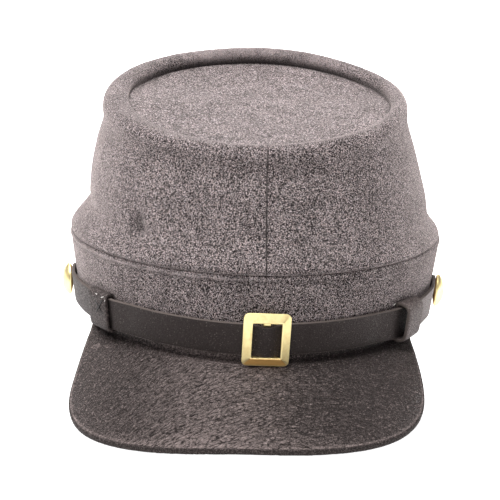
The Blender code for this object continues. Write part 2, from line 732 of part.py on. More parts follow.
def build():
    clear_scene()
    band = make_band()
    peak = make_peak()
    chin_strap = make_chin_strap()
    strap_end, strap_loop = make_strap_end_left()
    buckle, buckle_bar = make_buckle()
    button_left, hole_left = make_button("button_left", STRAP_END_LEFT)
    button_right, hole_right = make_button("button_right", CHIN_STRAP)
    for strap, hole in ((strap_end, hole_left), (chin_strap, hole_right)):
        boolean(strap, hole, "DIFFERENCE")
        boolean(band, hole, "DIFFERENCE")
    wool = [band, make_crown(), make_crown_top()]
    leather = [peak, chin_strap, strap_end, make_keeper_right()]
    pieces = wool + leather + [buckle, button_left, button_right]
    bpy.context.view_layer.update()
    turned = resting_lean(evaluated_points(peak), evaluated_points(band))
    floor = lowest(evaluated_points(peak), turned)
    sole_cutter = add_sole(band, turned, floor)
    bpy.context.view_layer.update()

    points = [turned @ point for piece in pieces for point in evaluated_points(piece)]
    middle = [(min(point[axis] for point in points) + max(point[axis] for point in points)) / 2.0
              for axis in (0, 1)]
    rest = bpy.data.objects.new("resting_cap", None)
    bpy.context.collection.objects.link(rest)
    rest.matrix_world = Matrix.Translation((-middle[0], -middle[1], -floor)) @ turned
    for obj in pieces + [strap_loop, buckle_bar, hole_left, hole_right, sole_cutter]:
        obj.parent = rest
    bpy.context.view_layer.update()


build()
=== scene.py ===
"""A grey wool kepi with a black leather peak and chin strap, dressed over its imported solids.

The shapes are drawn level, in the cap's own axes, as they are sewn: origin at the middle of the
band's lower edge, front towards -Y. RESTING then leans them back into the place of the solids.
A turn is an angle round the head from the front, positive towards +X.
"""

import math

import bpy
import numpy as np
from mathutils import Matrix, Vector, noise


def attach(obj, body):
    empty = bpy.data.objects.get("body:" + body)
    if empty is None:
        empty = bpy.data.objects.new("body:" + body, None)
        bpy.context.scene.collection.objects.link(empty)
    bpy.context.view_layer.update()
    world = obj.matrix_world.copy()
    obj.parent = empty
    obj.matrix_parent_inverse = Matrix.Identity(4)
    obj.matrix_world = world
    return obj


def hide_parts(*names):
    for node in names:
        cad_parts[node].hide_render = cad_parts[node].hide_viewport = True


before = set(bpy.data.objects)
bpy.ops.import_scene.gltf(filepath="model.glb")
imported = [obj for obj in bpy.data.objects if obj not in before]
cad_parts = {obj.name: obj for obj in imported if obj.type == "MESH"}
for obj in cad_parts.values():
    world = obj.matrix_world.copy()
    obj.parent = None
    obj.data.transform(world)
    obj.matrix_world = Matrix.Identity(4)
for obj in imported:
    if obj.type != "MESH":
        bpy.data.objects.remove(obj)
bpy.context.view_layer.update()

# ---- The band: a plain strip of milled grey wool on a stiff backing, sewn into a ring round the
# head. Its top edge is tucked in under the crown's, with a second row of stitches just below, and
# the ring is closed by a seam at the back.
MM = 0.001
LEAN_BACK = math.radians(5.836)  # the cap rests on the peak's edge and the band's back edge
LEAN_SIDEWAYS = math.radians(1.32)
RESTS_AT = Vector((-0.00023, 0.02948, 0.01003))
RESTING = (Matrix.Translation(RESTS_AT) @ Matrix.Rotation(-LEAN_BACK, 4, "X")
           @ Matrix.Rotation(LEAN_SIDEWAYS, 4, "Y"))

BAND_HEIGHT = 38.3 * MM
BAND_HALF_WIDTH = 89.5 * MM
BAND_HALF_LENGTH = 102.6 * MM
BAND_FLARE_SIDE = 5.6 * MM
BAND_FLARE_ENDS = 2.2 * MM
BAND_WALL = 2.5 * MM
BACK_SEAM_TURN = 180.0
SEAM_STEP = 0.14  # degrees between the closer columns beside an upright seam
SEAM_STEPS = 14  # to each side of it
LINING_EVERY = 5  # rows of the outside for each one inside a shell
SHARP_FROM = math.radians(60.0)


def oval(turn, half_width, half_length, out=0.0):
    """Points on an oval round the head, or outside it, from turns in degrees."""
    angle = np.radians(turn)
    x, y = np.sin(angle), -np.cos(angle)
    away = np.hypot(half_length * x, half_width * y)
    return np.stack([x * (half_width + out * half_length / away),
                     y * (half_length + out * half_width / away)], -1)


def band_point(turn, height, out=0.0):
    """A point on the band's outside, or off it."""
    turn, height = np.broadcast_arrays(turn, height)
    part = height / BAND_HEIGHT
    half_width = BAND_HALF_WIDTH + BAND_FLARE_SIDE * part
    half_length = BAND_HALF_LENGTH + BAND_FLARE_ENDS * part
    return np.concatenate([oval(turn, half_width, half_length, out), height[..., None]], -1)


def turn_past(turn, other=0.0):
    """How far a turn lies past another, from -180 to 180 degrees."""
    return (turn - other + 180.0) % 360.0 - 180.0


def turns_round(count, seams):
    """Turns all round the head, closer together at the seams."""
    turns = np.linspace(-180.0, 180.0, count, endpoint=False)
    closer = SEAM_STEP * np.arange(-SEAM_STEPS, SEAM_STEPS + 1)
    for seam in seams:
        turns = turns[abs(turn_past(turns, seam)) > SEAM_STEP * (SEAM_STEPS + 1)]
        turns = np.append(turns, turn_past(seam + closer))
    return np.sort(turns)


def smooth(part):
    """An eased step from 0 to 1 as the part goes from 0 to 1."""
    part = np.clip(part, 0.0, 1.0)
    return part * part * (3.0 - 2.0 * part)


def ridge(distance, width):
    """A smooth bump, 1 at no distance and about a third at the width."""
    return np.exp(-((distance / width) ** 2))


def swell(distance, high, reach):
    """How far cloth swells out, or sinks in, along a line: its height and reach are in mm."""
    return high * MM * ridge(distance, reach * MM)


def waves(points, size, seed):
    """Soft noise from -1 to 1 with features of about the given size in mm."""
    shift = Vector((seed * 7.3, seed * 3.1, seed * 5.7))
    flat = points.reshape(-1, 3) / (size * MM)
    values = [noise.noise(Vector(point) + shift) for point in flat.tolist()]
    return np.array(values).reshape(points.shape[:-1])


def ripples(points, table):
    """Low waves in cloth, from rows of height and size in mm, and seed."""
    return sum(high * MM * waves(points, size, seed) for high, size, seed in table)


def unit(vectors):
    """Vectors brought to a length of 1."""
    return vectors / np.maximum(np.linalg.norm(vectors, axis=-1, keepdims=True), 1e-12)


def normals(grid, round_trip=True):
    """Unit normals of a grid of points, rows by columns, whose columns may go round the head."""
    if round_trip:
        along = np.roll(grid, -1, axis=1) - np.roll(grid, 1, axis=1)
    else:
        along = np.gradient(grid, axis=1)
    return unit(np.cross(along, np.gradient(grid, axis=0)))


def shell(grid, wall, round_trip=True, rounding=5, fullness=1.0):
    """Rows that go over a sheet of the given thickness: outside, rounded edge, inside, other edge.

    A fullness under 1 makes the edge squarer.
    """
    out = normals(grid, round_trip)
    inner = grid - out * wall
    angles = np.pi * (np.arange(rounding) + 1.0) / (rounding + 1.0)
    side = np.sign(np.cos(angles)) * np.abs(np.cos(angles)) ** fullness
    beyond = np.sin(angles) ** fullness
    edges = []
    for end, beside in ((-1, -2), (0, 1)):
        onward = unit(grid[end] - grid[beside])
        middle = (grid[end] + inner[end]) / 2.0
        edges.append([middle + (out[end] * a + onward * b) * wall / 2.0 for a, b in zip(side, beyond)])
    last = len(grid) - 1
    lining = inner[[*range(0, last, LINING_EVERY), last]]
    return np.concatenate([grid, edges[0], lining[::-1], edges[1][::-1]])


def new_object(name, data):
    made = bpy.data.objects.new(name, data)
    bpy.context.collection.objects.link(made)
    return made


def piece_from_rows(name, rows, finish, round_trip=True, rows_close=True, marks=None):
    """A mesh from rows of points, brought to the cap's place. Open sides are closed with a face."""
    index = np.arange(rows[..., 0].size).reshape(rows.shape[:2])
    grid = np.pad(index, ((0, int(rows_close)), (0, int(round_trip))), "wrap")
    quads = np.stack([grid[:-1, :-1], grid[:-1, 1:], grid[1:, 1:], grid[1:, :-1]], -1)
    quads = quads.reshape(-1, 4).tolist()
    if not round_trip:
        quads += [index[:, 0][::-1].tolist(), index[:, -1].tolist()]
    points = rows.reshape(-1, 3)
    first, second, third = points[np.array([quad[:3] for quad in quads])].swapaxes(0, 1)
    if (first * np.cross(second, third)).sum() < 0.0:
        quads = [quad[::-1] for quad in quads]
    mesh = bpy.data.meshes.new(name)
    placed = [RESTING @ Vector(point) for point in points.tolist()]
    mesh.from_pydata([(point.x, point.y, max(point.z, 0.0)) for point in placed], [], quads)
    for mark, values in (marks or {}).items():
        layer = mesh.attributes.new(mark, "FLOAT", "POINT")
        full = np.zeros(len(points))
        full[:values.size] = values.ravel()
        layer.data.foreach_set("value", full)
    mesh.shade_smooth()
    mesh.set_sharp_from_angle(angle=SHARP_FROM)
    mesh.materials.append(finish)
    return new_object(name, mesh)


class Signal:
    """A value, colour or vector that flows through a material's nodes."""

    def __init__(self, tree, socket=None):
        self.tree = tree
        self.socket = socket

    def node(self, kind, settings, sockets, output=0):
        """A new node, with its settings made first, then the values or links of its sockets."""
        made = self.tree.nodes.new("ShaderNode" + kind)
        for key, value in settings.items():
            setattr(made, key, value)
        for key, value in sockets.items():
            if isinstance(value, Signal):
                self.tree.links.new(value.socket, made.inputs[key])
            else:
                made.inputs[key].default_value = value
        return Signal(self.tree, made.outputs[output])

    def math(self, operation, first, second, clamp=False):
        return self.node("Math", {"operation": operation, "use_clamp": clamp}, {0: first, 1: second})

    def __add__(self, other):
        return self.math("ADD", self, other)

    def __sub__(self, other):
        return self.math("SUBTRACT", self, other)

    def __rsub__(self, other):
        return self.math("SUBTRACT", other, self)

    def __mul__(self, other):
        return self.math("MULTIPLY", self, other)

    __radd__ = __add__
    __rmul__ = __mul__

    def clamped(self):
        return self.math("ADD", self, 0.0, clamp=True)

    def blend(self, first, second):
        """Two colours mixed by this value."""
        return self.node("Mix", {"data_type": "RGBA"}, {0: self, 6: first, 7: second}, 2)

    def place(self):
        """Places in the cap's own axes, in metres."""
        return self.node("TexCoord", {}, {}, "Object")

    def moved(self, *by):
        """These places moved along, so that each finish has a pattern of its own."""
        return self.node("VectorMath", {"operation": "ADD"}, {0: self, 1: by})

    def along(self, axis):
        return self.node("SeparateXYZ", {}, {"Vector": self}, axis)

    def mark(self, name):
        """A value that the mesh carries at its points."""
        return self.node("Attribute", {"attribute_name": name}, {}, 2)

    def noise(self, scale, detail=2.0, rough=0.5, distortion=0.0, output=0):
        """Soft noise at these places, with so many features to a metre."""
        sockets = {"Scale": scale, "Detail": detail, "Roughness": rough, "Distortion": distortion}
        return self.node("TexNoise", {}, {"Vector": self, **sockets}, output)

    def cells(self, scale, feature="F1", output=0):
        """Cells at these places: distances in them, or as output 1 a value for each from 0 to 1."""
        return self.node("TexVoronoi", {"feature": feature}, {"Vector": self, "Scale": scale}, output)

    def feed(self, shader, socket):
        self.tree.links.new(self.socket, shader.inputs[socket])

    def feed_bump(self, shader, strength, distance):
        """Use this as the height of small bumps, which stand out by the distance."""
        sockets = {"Height": self, "Strength": strength, "Distance": distance}
        self.node("Bump", {}, sockets).feed(shader, "Normal")


def begin_finish(name, constants):
    """A new material: its first signal, and its shader with the values that don't vary."""
    made = bpy.data.materials.new(name)
    made.use_nodes = True
    shader = made.node_tree.nodes["Principled BSDF"]
    for socket, value in constants.items():
        shader.inputs[socket].default_value = value
    return made, Signal(made.node_tree), shader


WOOL_DARK = (0.010, 0.0083, 0.0084, 1.0)
WOOL_LIGHT = (0.550, 0.434, 0.420, 1.0)
WOOL_LIGHT_COOL = (0.502, 0.445, 0.452, 1.0)
# the colour of painted shade in seams, creases and under the roll
WOOL_PAINTED_SHADE = (0.014, 0.012, 0.012, 1.0)
WOOL_SHEEN = (1.0, 0.86, 0.83, 1.0)
WOOL_CONTRAST = 3.5  # of light fibres against dark ones
WOOL_DARKER = 0.12
FIBRES_PER_METRE = 3800.0  # their ends show as specks under half a millimetre


def wool_finish(name, seed, fibres=FIBRES_PER_METRE):
    """Milled wool of light and dark fibres, with a painted highlight on its raised nap and painted shade in
    its seams and creases.
    """
    made, wool, shader = begin_finish(name, {
        "Roughness": 0.95, "Specular IOR Level": 0.15,
        "Sheen Weight": 0.50, "Sheen Roughness": 0.30, "Sheen Tint": WOOL_SHEEN})
    place = wool.place().moved(seed * 0.37, seed * 0.19, seed * 0.53)
    specks = place.cells(fibres, output=1)
    clumps = place.noise(fibres * 0.3, 4.0, 0.75)
    clouds = place.noise(80.0, 3.0, 0.6)
    # A painted highlight where the mesh marks raised nap, which also washes out the specks.
    raised = wool.mark("raised")
    mixed = (specks - 0.5) * (1.0 - raised * 1.7) * WOOL_CONTRAST + (clumps - 0.5) * 0.3
    light = (mixed + (clouds - 0.5) * 0.6 + raised - WOOL_DARKER).clamped()
    warm = ((place.noise(fibres * 0.3, 3.0, 0.8) - 0.5) * 4.0 + 0.5).clamped()
    colour = light.blend(WOOL_DARK, warm.blend(WOOL_LIGHT_COOL, WOOL_LIGHT))
    # Painted shade where the mesh marks seams and creases.
    wool.mark("shaded_crease").blend(colour, WOOL_PAINTED_SHADE).feed(shader, "Base Color")
    nap = place.noise(fibres * 0.8, 2.0, 0.7) + clumps * 0.3
    nap.feed_bump(shader, 0.7, 0.4 * MM)
    return made


def from_seam(turn, seam_turn, radius):
    """Distance along the cloth from an upright seam, in metres."""
    return np.radians(turn_past(turn, seam_turn)) * radius


BAND_TURNS = 400
BAND_ROW = 0.8 * MM
BAND_ROUNDED = (1.3 * MM, 0.6 * MM)  # left free at the lower and upper edge for rounding
BAND_STITCHES_BELOW = 3.4  # mm below its top edge
# Ridges and hollows along the band, in mm: below its top edge, how far out, and reach.
BAND_LINES = ((0.3, -0.8, 1.3), (2.0, 0.40, 1.0), (BAND_STITCHES_BELOW, -0.22, 0.7))
BAND_HEM = (-0.8, 1.2)  # the same at its lower edge
BAND_RIPPLES = ((0.30, 28.0, 1), (0.12, 7.0, 2))
DENT_ABOVE_BUCKLE = (2.5, 27.0, 9.0, 6.0, 0.6)  # turn, height, reaches and depth, in mm
# Cloth swells beside an upright seam and sinks at its stitches: height and reach, in mm.
SEAM_SWELL = (0.25, 4.0)
BAND_SEAM_SINKS = (-0.7, 0.45)
# The ridge above the stitches has a painted highlight, from the left up to a turn.
BAND_HIGHLIGHT_BELOW = 1.9 * MM
BAND_HIGHLIGHT_UNTIL = 12.0


def make_band():
    low, high = BAND_ROUNDED
    heights = np.linspace(low, BAND_HEIGHT - high, int(BAND_HEIGHT / BAND_ROW))
    turn, height = np.meshgrid(turns_round(BAND_TURNS, (BACK_SEAM_TURN,)), heights)
    below = BAND_HEIGHT - height
    out = swell(height, *BAND_HEM)
    for line_below, stands_out, reach in BAND_LINES:
        out += swell(below - line_below * MM, stands_out, reach)
    dent_turn, dent_height, wide, tall, deep = DENT_ABOVE_BUCKLE
    across = from_seam(turn, dent_turn, BAND_HALF_LENGTH)
    out -= swell(across, deep, wide) * ridge(height - dent_height * MM, tall * MM)
    back = from_seam(turn, BACK_SEAM_TURN, BAND_HALF_LENGTH)
    out += swell(back, *SEAM_SWELL) + swell(back, *BAND_SEAM_SINKS)
    surface = band_point(turn, height)
    out += ripples(surface, BAND_RIPPLES)
    # Painted shade in the back seam and along the row of stitches.
    shaded_crease = 0.8 * ridge(back, 0.4 * MM) + 0.35 * ridge(below - BAND_STITCHES_BELOW * MM, 0.5 * MM)
    # A painted highlight on the ridge above the stitches.
    raised = 0.55 * ridge(below - BAND_HIGHLIGHT_BELOW, 0.8 * MM) * smooth((BAND_HIGHLIGHT_UNTIL - turn) / 16.0)
    rows = shell(band_point(turn, height, out), BAND_WALL)
    marks = {"shaded_crease": shaded_crease, "raised": raised}
    return piece_from_rows("band_cloth", rows, wool_finish("band_wool_cloth", 1), marks=marks)


band_cloth = make_band()
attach(band_cloth, "root")
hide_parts("band")

# ---- The crown: a tube of the same wool, narrower at the top, with an upright seam at the front
# and one at the back. It blouses out a little over the band, and its top edge is rolled over a
# cord of wadding into a soft rim, low at the front and full at the sides and back.
CROWN_WALL = 2.2 * MM
CROWN_TURNS = 420
CROWN_ROW = 0.95 * MM
FRONT_SEAM_TURN = (4.85, 6.6)  # it leans: at the band, and at the rim
RIM_HALF_WIDTH = 75.9 * MM
RIM_HALF_LENGTH = 77.9 * MM
RIM_PLACE = np.array((-1.3, -17.0, 109.2)) * MM
RIM_DIP = math.radians(11.0)
RIM_SAGS = ((128.0, 38.0, 2.1), (-160.0, 25.0, 0.4))  # turn, reach and drop in mm
WALL_STOPS_BELOW_RIM = 9.0 * MM
# The wall's first rows, at the seam: how far in, and above the band's top.
CROWN_TUCK = ((-1.6 * MM, -0.2 * MM), (-0.7 * MM, 0.25 * MM))
# How far the wall stands out from a straight line between seam and rim: the part of the way up,
# then mm at the front, right, back and left.
CROWN_STANDS_OUT = (
    (0.03, 0.5, -0.4, 0.5, 0.2), (0.09, 1.0, -2.2, 1.0, -0.6), (0.17, 0.3, -3.4, 0.7, -3.2),
    (0.25, -0.8, -2.6, 0.2, -5.0), (0.34, -1.5, -1.6, -0.3, -4.0), (0.50, -1.8, -1.1, -0.6, -2.3),
    (0.75, -0.9, -0.4, -0.3, -0.8), (1.00, -0.3, 0.2, -0.3, -0.3),
)
# Folds and dents: turn, part of the way up, their reaches, and how far out, in mm.
FOLDS = ((-72.0, 0.26, 18.0, 0.08, -1.0), (-46.0, 0.22, 8.0, 0.07, -1.2), (58.0, 0.33, 20.0, 0.10, -0.7))
# The roll up to its crest, in mm: out, and above the rim's plane where it is full and where low.
ROLL_OUTSIDE = ((0.0, -4.5, -4.5), (-0.6, -1.2, -1.6), (-2.3, 0.9, -0.1), (-4.4, 1.5, 0.4))
# Its inside: mm out, and the part of the way down from its crest to the top's edge.
ROLL_INSIDE = ((-6.6, 0.15), (-8.3, 0.5), (-8.55, 0.8), (-8.6, 1.0))
ROLL_WIDER_LEFT = 0.50
ROLL_LOW_UNTIL = (70.0, 45.0)  # turns to the left and to the right
ROLL_FULL_FROM = (125.0, 105.0)
# How far the top's edge lies under the rim's plane: where the roll is low, where it is full, and
# how much more at the front, in mm.
TOP_UNDER_RIM = (1.5, 3.6, 2.0)
CROWN_RIPPLES = ((0.30, 30.0, 3), (0.12, 8.0, 4))
FRONT_SEAM_SWELL = (0.20, 5.0)
FRONT_SEAM_SINKS = (-0.75, 0.36)
BACK_SEAM_SINKS = (-0.70, 0.42)


def turned(one, other, angle):
    """Two lengths, or two axes, at right angles, turned together."""
    cosine, sine = math.cos(angle), math.sin(angle)
    return one * cosine - other * sine, other * cosine + one * sine


def rim_point(turn, out, rise):
    """A point by its distance outside the rim's oval, wider at the left, and above its plane."""
    left = np.maximum(-np.sin(np.radians(turn)), 0.0)
    flat = oval(turn, RIM_HALF_WIDTH, RIM_HALF_LENGTH, out * (1.0 + ROLL_WIDER_LEFT * left))
    for sag_turn, reach, drop in RIM_SAGS:
        rise = rise - drop * MM * ridge(turn_past(turn, sag_turn), reach)
    return np.stack([flat[..., 0], *turned(flat[..., 1], rise, RIM_DIP)], -1) + RIM_PLACE


def roll_fullness(turn):
    """0 at the front, where the roll is low, and 1 at the sides and back."""
    low = np.where(turn <= 0.0, *ROLL_LOW_UNTIL)
    full = np.where(turn <= 0.0, *ROLL_FULL_FROM)
    return smooth((np.abs(turn) - low) / (full - low))


def top_rise(turn):
    """The height of the top's edge over the rim's plane, which is below zero all round."""
    low, full, more = TOP_UNDER_RIM
    full = full + more * np.maximum(-np.cos(np.radians(turn)), 0.0)
    return -(low + (full - low) * roll_fullness(turn)) * MM


def through(rows, step):
    """A smooth surface through a few rows of points, as rows at about the given step."""
    rows = np.stack(rows)
    gaps = np.linalg.norm(np.diff(rows, axis=0), axis=-1).mean(axis=1)
    knots = np.concatenate([[0.0], np.cumsum(gaps)])
    slopes = np.gradient(rows, knots, axis=0)
    places = np.linspace(0.0, knots[-1], int(knots[-1] / step) + 1)
    spans = np.clip(np.searchsorted(knots, places, side="right") - 1, 0, len(gaps) - 1)
    gap = gaps[spans, None, None]
    part = (places - knots[spans])[:, None, None] / gap
    eased = part * part * (3.0 - 2.0 * part)
    rises = (part - 1.0) ** 2 * part * gap * slopes[spans] + (part - 1.0) * part**2 * gap * slopes[spans + 1]
    return rows[spans] * (1.0 - eased) + rows[spans + 1] * eased + rises, places


def fades(value, start, over):
    """0 up to a start in mm and 1 beyond it by so many mm, or before it if they are below zero."""
    return smooth((value - start * MM) / (over * MM))


def wall_row(turn, up, stands_out):
    """The wall's outside at a part of the way up from the seam to the rim."""
    front, right, back, left = stands_out
    ahead, aside = np.cos(np.radians(turn)), np.sin(np.radians(turn))
    out = ahead**2 * np.where(ahead > 0.0, front, back) + aside**2 * np.where(aside > 0.0, right, left)
    for fold_turn, fold_up, turn_reach, up_reach, fold_out in FOLDS:
        out += fold_out * ridge(turn_past(turn, fold_turn), turn_reach) * ridge(up - fold_up, up_reach)
    seam = band_point(turn, BAND_HEIGHT)
    top = rim_point(turn, 0.0, -WALL_STOPS_BELOW_RIM)
    outward = band_point(turn, 0.0, 1.0) - band_point(turn, 0.0)
    return seam + (top - seam) * up + outward * out[..., None] * MM


# One dimple of two parts: x, y, height, reach and depth, in mm.
DIMPLES = ((-53.6, -77.9, 56.1, 4.4, 1.6), (-51.0, -80.8, 52.8, 3.4, 1.2))


def make_crown():
    turn = turns_round(CROWN_TURNS, (sum(FRONT_SEAM_TURN) / 2.0, BACK_SEAM_TURN))
    rows = [band_point(turn, BAND_HEIGHT + above, out) for out, above in CROWN_TUCK]
    rows += [wall_row(turn, up, stands_out) for up, *stands_out in CROWN_STANDS_OUT]
    for out, full, low in ROLL_OUTSIDE:
        crest = (low + (full - low) * roll_fullness(turn)) * MM
        rows.append(rim_point(turn, out * MM, crest))
    for out, down in ROLL_INSIDE:
        rows.append(rim_point(turn, out * MM, crest + (top_rise(turn) - crest) * down))
    surface, places = through(rows, CROWN_ROW)
    turn, up = np.meshgrid(turn, places)
    radius = np.linalg.norm(surface[..., :2], axis=-1)
    front = from_seam(turn, np.interp(up, (0.0, places[-1]), FRONT_SEAM_TURN), radius)
    back = from_seam(turn, BACK_SEAM_TURN, radius)
    before_top = places[-1] - up
    # The back seam fades out below the roll, and the front seam nearer to the rim.
    back_kept, front_kept = fades(before_top, 12.0, 6.0), fades(before_top, 9.0, 3.0)
    out = ripples(surface, CROWN_RIPPLES)
    out += swell(front, *FRONT_SEAM_SWELL) + swell(front, *FRONT_SEAM_SINKS) * front_kept
    out += swell(back, *SEAM_SWELL) + swell(back, *BACK_SEAM_SINKS) * back_kept
    out *= fades(up, 0.0, 3.0)
    pressed = np.zeros_like(up)
    for *middle, reach, deep in DIMPLES:
        from_middle = np.linalg.norm(surface - np.array(middle) * MM, axis=-1)
        pressed += deep * ridge(from_middle, reach * MM)
    surface += normals(surface) * (out - pressed * MM)[..., None]
    # Painted shade in the seams.
    shaded_crease = np.minimum(1.3 * ridge(front, 0.33 * MM), 1.0) * front_kept
    shaded_crease += 0.8 * ridge(back, 0.38 * MM) * back_kept
    # Painted shade darkens the cloth inside the roll and in the dimple, and a painted highlight makes the
    # roll paler, most at the back.
    full = roll_fullness(turn)
    shaded_crease = np.maximum(np.maximum(shaded_crease, 0.9 * fades(before_top, 2.6, -2.4) * full), 0.32 * pressed)
    raised = 0.3 * fades(before_top, 15.0, -6.0) * full * (1.0 + 0.6 * smooth((abs(turn) - 125.0) / 30.0))
    marks = {"shaded_crease": shaded_crease, "raised": raised}
    rows = shell(surface, CROWN_WALL)
    return piece_from_rows("crown_cloth", rows, wool_finish("crown_wool_cloth", 2), marks=marks)


crown_cloth = make_crown()
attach(crown_cloth, "root")
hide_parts("crown")

# ---- The top: one round of the same wool, sewn in a little below the roll's crest so that it
# sinks at the back and sides, and runs out nearly flush over the front. It sags very slightly.
TOP_LAP = 1.2 * MM
TOP_CLEAR = 0.45 * MM
TOP_TURNS = 240
TOP_RINGS = 90
TOP_SAGS = 0.9 * MM
TOP_RIPPLES = ((0.35, 35.0, 5), (0.10, 9.0, 6))
TOP_FIBRES_PER_METRE = 2400.0
TOP_PALER = 0.08  # paler than the sides all over


def make_top():
    turn = np.linspace(-180.0, 180.0, TOP_TURNS, endpoint=False)
    edge = rim_point(turn, ROLL_INSIDE[-1][0] * MM + TOP_LAP, top_rise(turn) - TOP_CLEAR)
    centre = edge.mean(axis=0)
    part = np.linspace(0.004, 1.0, TOP_RINGS)[:, None, None]
    surface = centre + (edge - centre) * part
    surface[..., 2] += ripples(surface, TOP_RIPPLES)
    surface[..., 2] -= TOP_SAGS * (1.0 - part[..., 0] ** 2)
    from_edge = (1.0 - part[..., 0]) * RIM_HALF_WIDTH
    # Painted shade at the top's edge, under the roll.
    shaded_crease = 0.9 * ridge(from_edge - TOP_LAP, 1.1 * MM) * roll_fullness(turn)
    rows = np.concatenate([surface, surface[::-3] - (0.0, 0.0, CROWN_WALL)])
    marks = {"shaded_crease": shaded_crease, "raised": np.full_like(shaded_crease, TOP_PALER)}
    finish = wool_finish("top_wool_cloth", 3, TOP_FIBRES_PER_METRE)
    return piece_from_rows("top_cloth", rows, finish, rows_close=False, marks=marks)


top_cloth = make_top()
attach(top_cloth, "root")
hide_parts("crown_top")

# ---- The peak: a stiff piece of black cow hide with a pebbled grain, cut to a blunt curve and
# sewn into the band's lower seam. It bends down from its root and slopes to the front, and its
# cut edge is blacked, slightly rounded and darkened further by painted shade.
PEAK_LEATHER = 2.9 * MM
PEAK_HALF_WIDTH = 81.3 * MM
PEAK_TO_RIGHT = 0.9 * MM
PEAK_TAPER = (2.6 * MM, 4.2 * MM)  # of its left and right side, towards the band
PEAK_TAPER_EXPONENT = 1.5
PEAK_CORNERS_START = 104.6 * MM
PEAK_CORNER_LENGTH = 60.8 * MM
PEAK_ROUNDNESS = (2.82, 2.60)  # of its left and right corner
PEAK_SIDE_START = 43.0 * MM
PEAK_SLOPE = math.radians(16.8)
PEAK_ROOT_UP = 7.0 * MM
PEAK_BEND_REACH = 6.0 * MM
PEAK_LEVELS_OVER = 35.0 * MM
PEAK_BEND = ((0.0, 0.8), (0.5, 1.9), (1.6, 2.6))  # out and down round the bend, in mm
PEAK_PARTS = (0.08, 0.2, 0.4, 0.6, 0.8, 1.0)  # rows from there to the edge
PEAK_INSIDE = 2.95 * MM  # how far inside the band's face its root stands
PEAK_UNDER_BAND = 0.35 * MM
PEAK_ROW = 0.56 * MM
PEAK_FRONT_STEPS = 330
PEAK_SIDE_STEPS = 70


def peak_outline():
    """The peak's edge from its left end to its right, as seen from above."""
    part = np.arange(PEAK_SIDE_STEPS) / PEAK_SIDE_STEPS
    ahead = PEAK_SIDE_START + (PEAK_CORNERS_START - PEAK_SIDE_START) * part
    taper = (1.0 - part) ** PEAK_TAPER_EXPONENT
    angle = np.pi * (np.linspace(0.0, 1.0, PEAK_FRONT_STEPS + 1) - 0.5)
    power = 2.0 / np.where(angle < 0.0, *PEAK_ROUNDNESS)
    across = np.sign(angle) * np.abs(np.sin(angle)) ** power
    front = PEAK_CORNERS_START + PEAK_CORNER_LENGTH * np.maximum(np.cos(angle), 0.0) ** power
    left = np.stack([PEAK_TAPER[0] * taper - PEAK_HALF_WIDTH, -ahead], -1)
    right = np.stack([PEAK_HALF_WIDTH - PEAK_TAPER[1] * taper, -ahead], -1)
    middle = np.stack([PEAK_HALF_WIDTH * across, -front], -1)
    return np.concatenate([left, middle, right[::-1]]) + (PEAK_TO_RIGHT, 0.0)


def facing_turn(point, half_width, half_length):
    """The turn whose outward line passes through a point outside the oval, by Newton's steps."""
    x, y = point[..., 0], point[..., 1]
    angle = np.arctan2(x, -y)
    for _ in range(20):
        sine, cosine = np.sin(angle), np.cos(angle)
        away = np.array((half_width * sine - x, -half_length * cosine - y))
        along = np.array((half_width * cosine, half_length * sine))
        bend = np.array((-half_width * sine, half_length * cosine))
        angle = angle - (away * along).sum(0) / (along**2 + away * bend).sum(0)
    return np.degrees(angle)


def peak_rows():
    """Rows from the root inside the band, round the bend and out to the edge."""
    edge = peak_outline()
    turn = facing_turn(edge, BAND_HALF_WIDTH - PEAK_INSIDE, BAND_HALF_LENGTH - PEAK_INSIDE)
    root = oval(turn, BAND_HALF_WIDTH, BAND_HALF_LENGTH, -PEAK_INSIDE)
    length = np.linalg.norm(edge - root, axis=-1)
    outward = (edge - root) / length[:, None]
    bend = np.minimum(1.0, length / PEAK_BEND_REACH)
    bend_out, bend_drop = np.array(PEAK_BEND[-1]) * MM
    places = [(np.full_like(length, out * MM), drop * MM) for out, drop in PEAK_BEND]
    for part in PEAK_PARTS:
        out = bend_out + ((length - PEAK_LEATHER / 2.0) / bend - bend_out) * part
        places.append((out, bend_drop + (out - bend_out) * math.tan(PEAK_SLOPE)))
    rows = [band_point(turn, up, -PEAK_INSIDE) for up in (PEAK_ROOT_UP - PEAK_LEATHER / 2.0, 0.0)]
    for out, drop in places:
        flat = root + outward * (out * bend)[:, None]
        level = flat[:, 0] * math.tan(LEAN_SIDEWAYS) * smooth(out * bend / PEAK_LEVELS_OVER)
        rows.append(np.concatenate([flat, (level - PEAK_UNDER_BAND - drop * bend)[:, None]], -1))
    return rows


# The pale colour stands for wear and painted sheen, the crease colour for painted shade.
LEATHER_BLACK = (0.0075, 0.0062, 0.0060, 1.0)
LEATHER_WEAR_AND_SHEEN = (0.270, 0.217, 0.207, 1.0)
LEATHER_PAINTED_SHADE = (0.004, 0.0035, 0.0033, 1.0)
# the paler cut side of the hide, with a painted highlight
LEATHER_CUT_AND_HIGHLIGHT = (0.080, 0.066, 0.060, 1.0)
LEATHER_SPECULAR = (1.0, 0.82, 0.79, 1.0)
# Creases run back from the left front corner, level out at the middle and turn back again: their
# slope is the first value less the second times x, up to some x at the right.
CREASE_SLOPE = (0.38, 12.0)
CREASES_TURN_UNTIL = 61.0 * MM
CREASES_STRETCH = 0.45  # their scale along their run, which makes them long
CREASES_WANDER = 2.5 * MM
CREASES_PER_METRE = (480.0, 1150.0)  # the folds, and finer ones between them


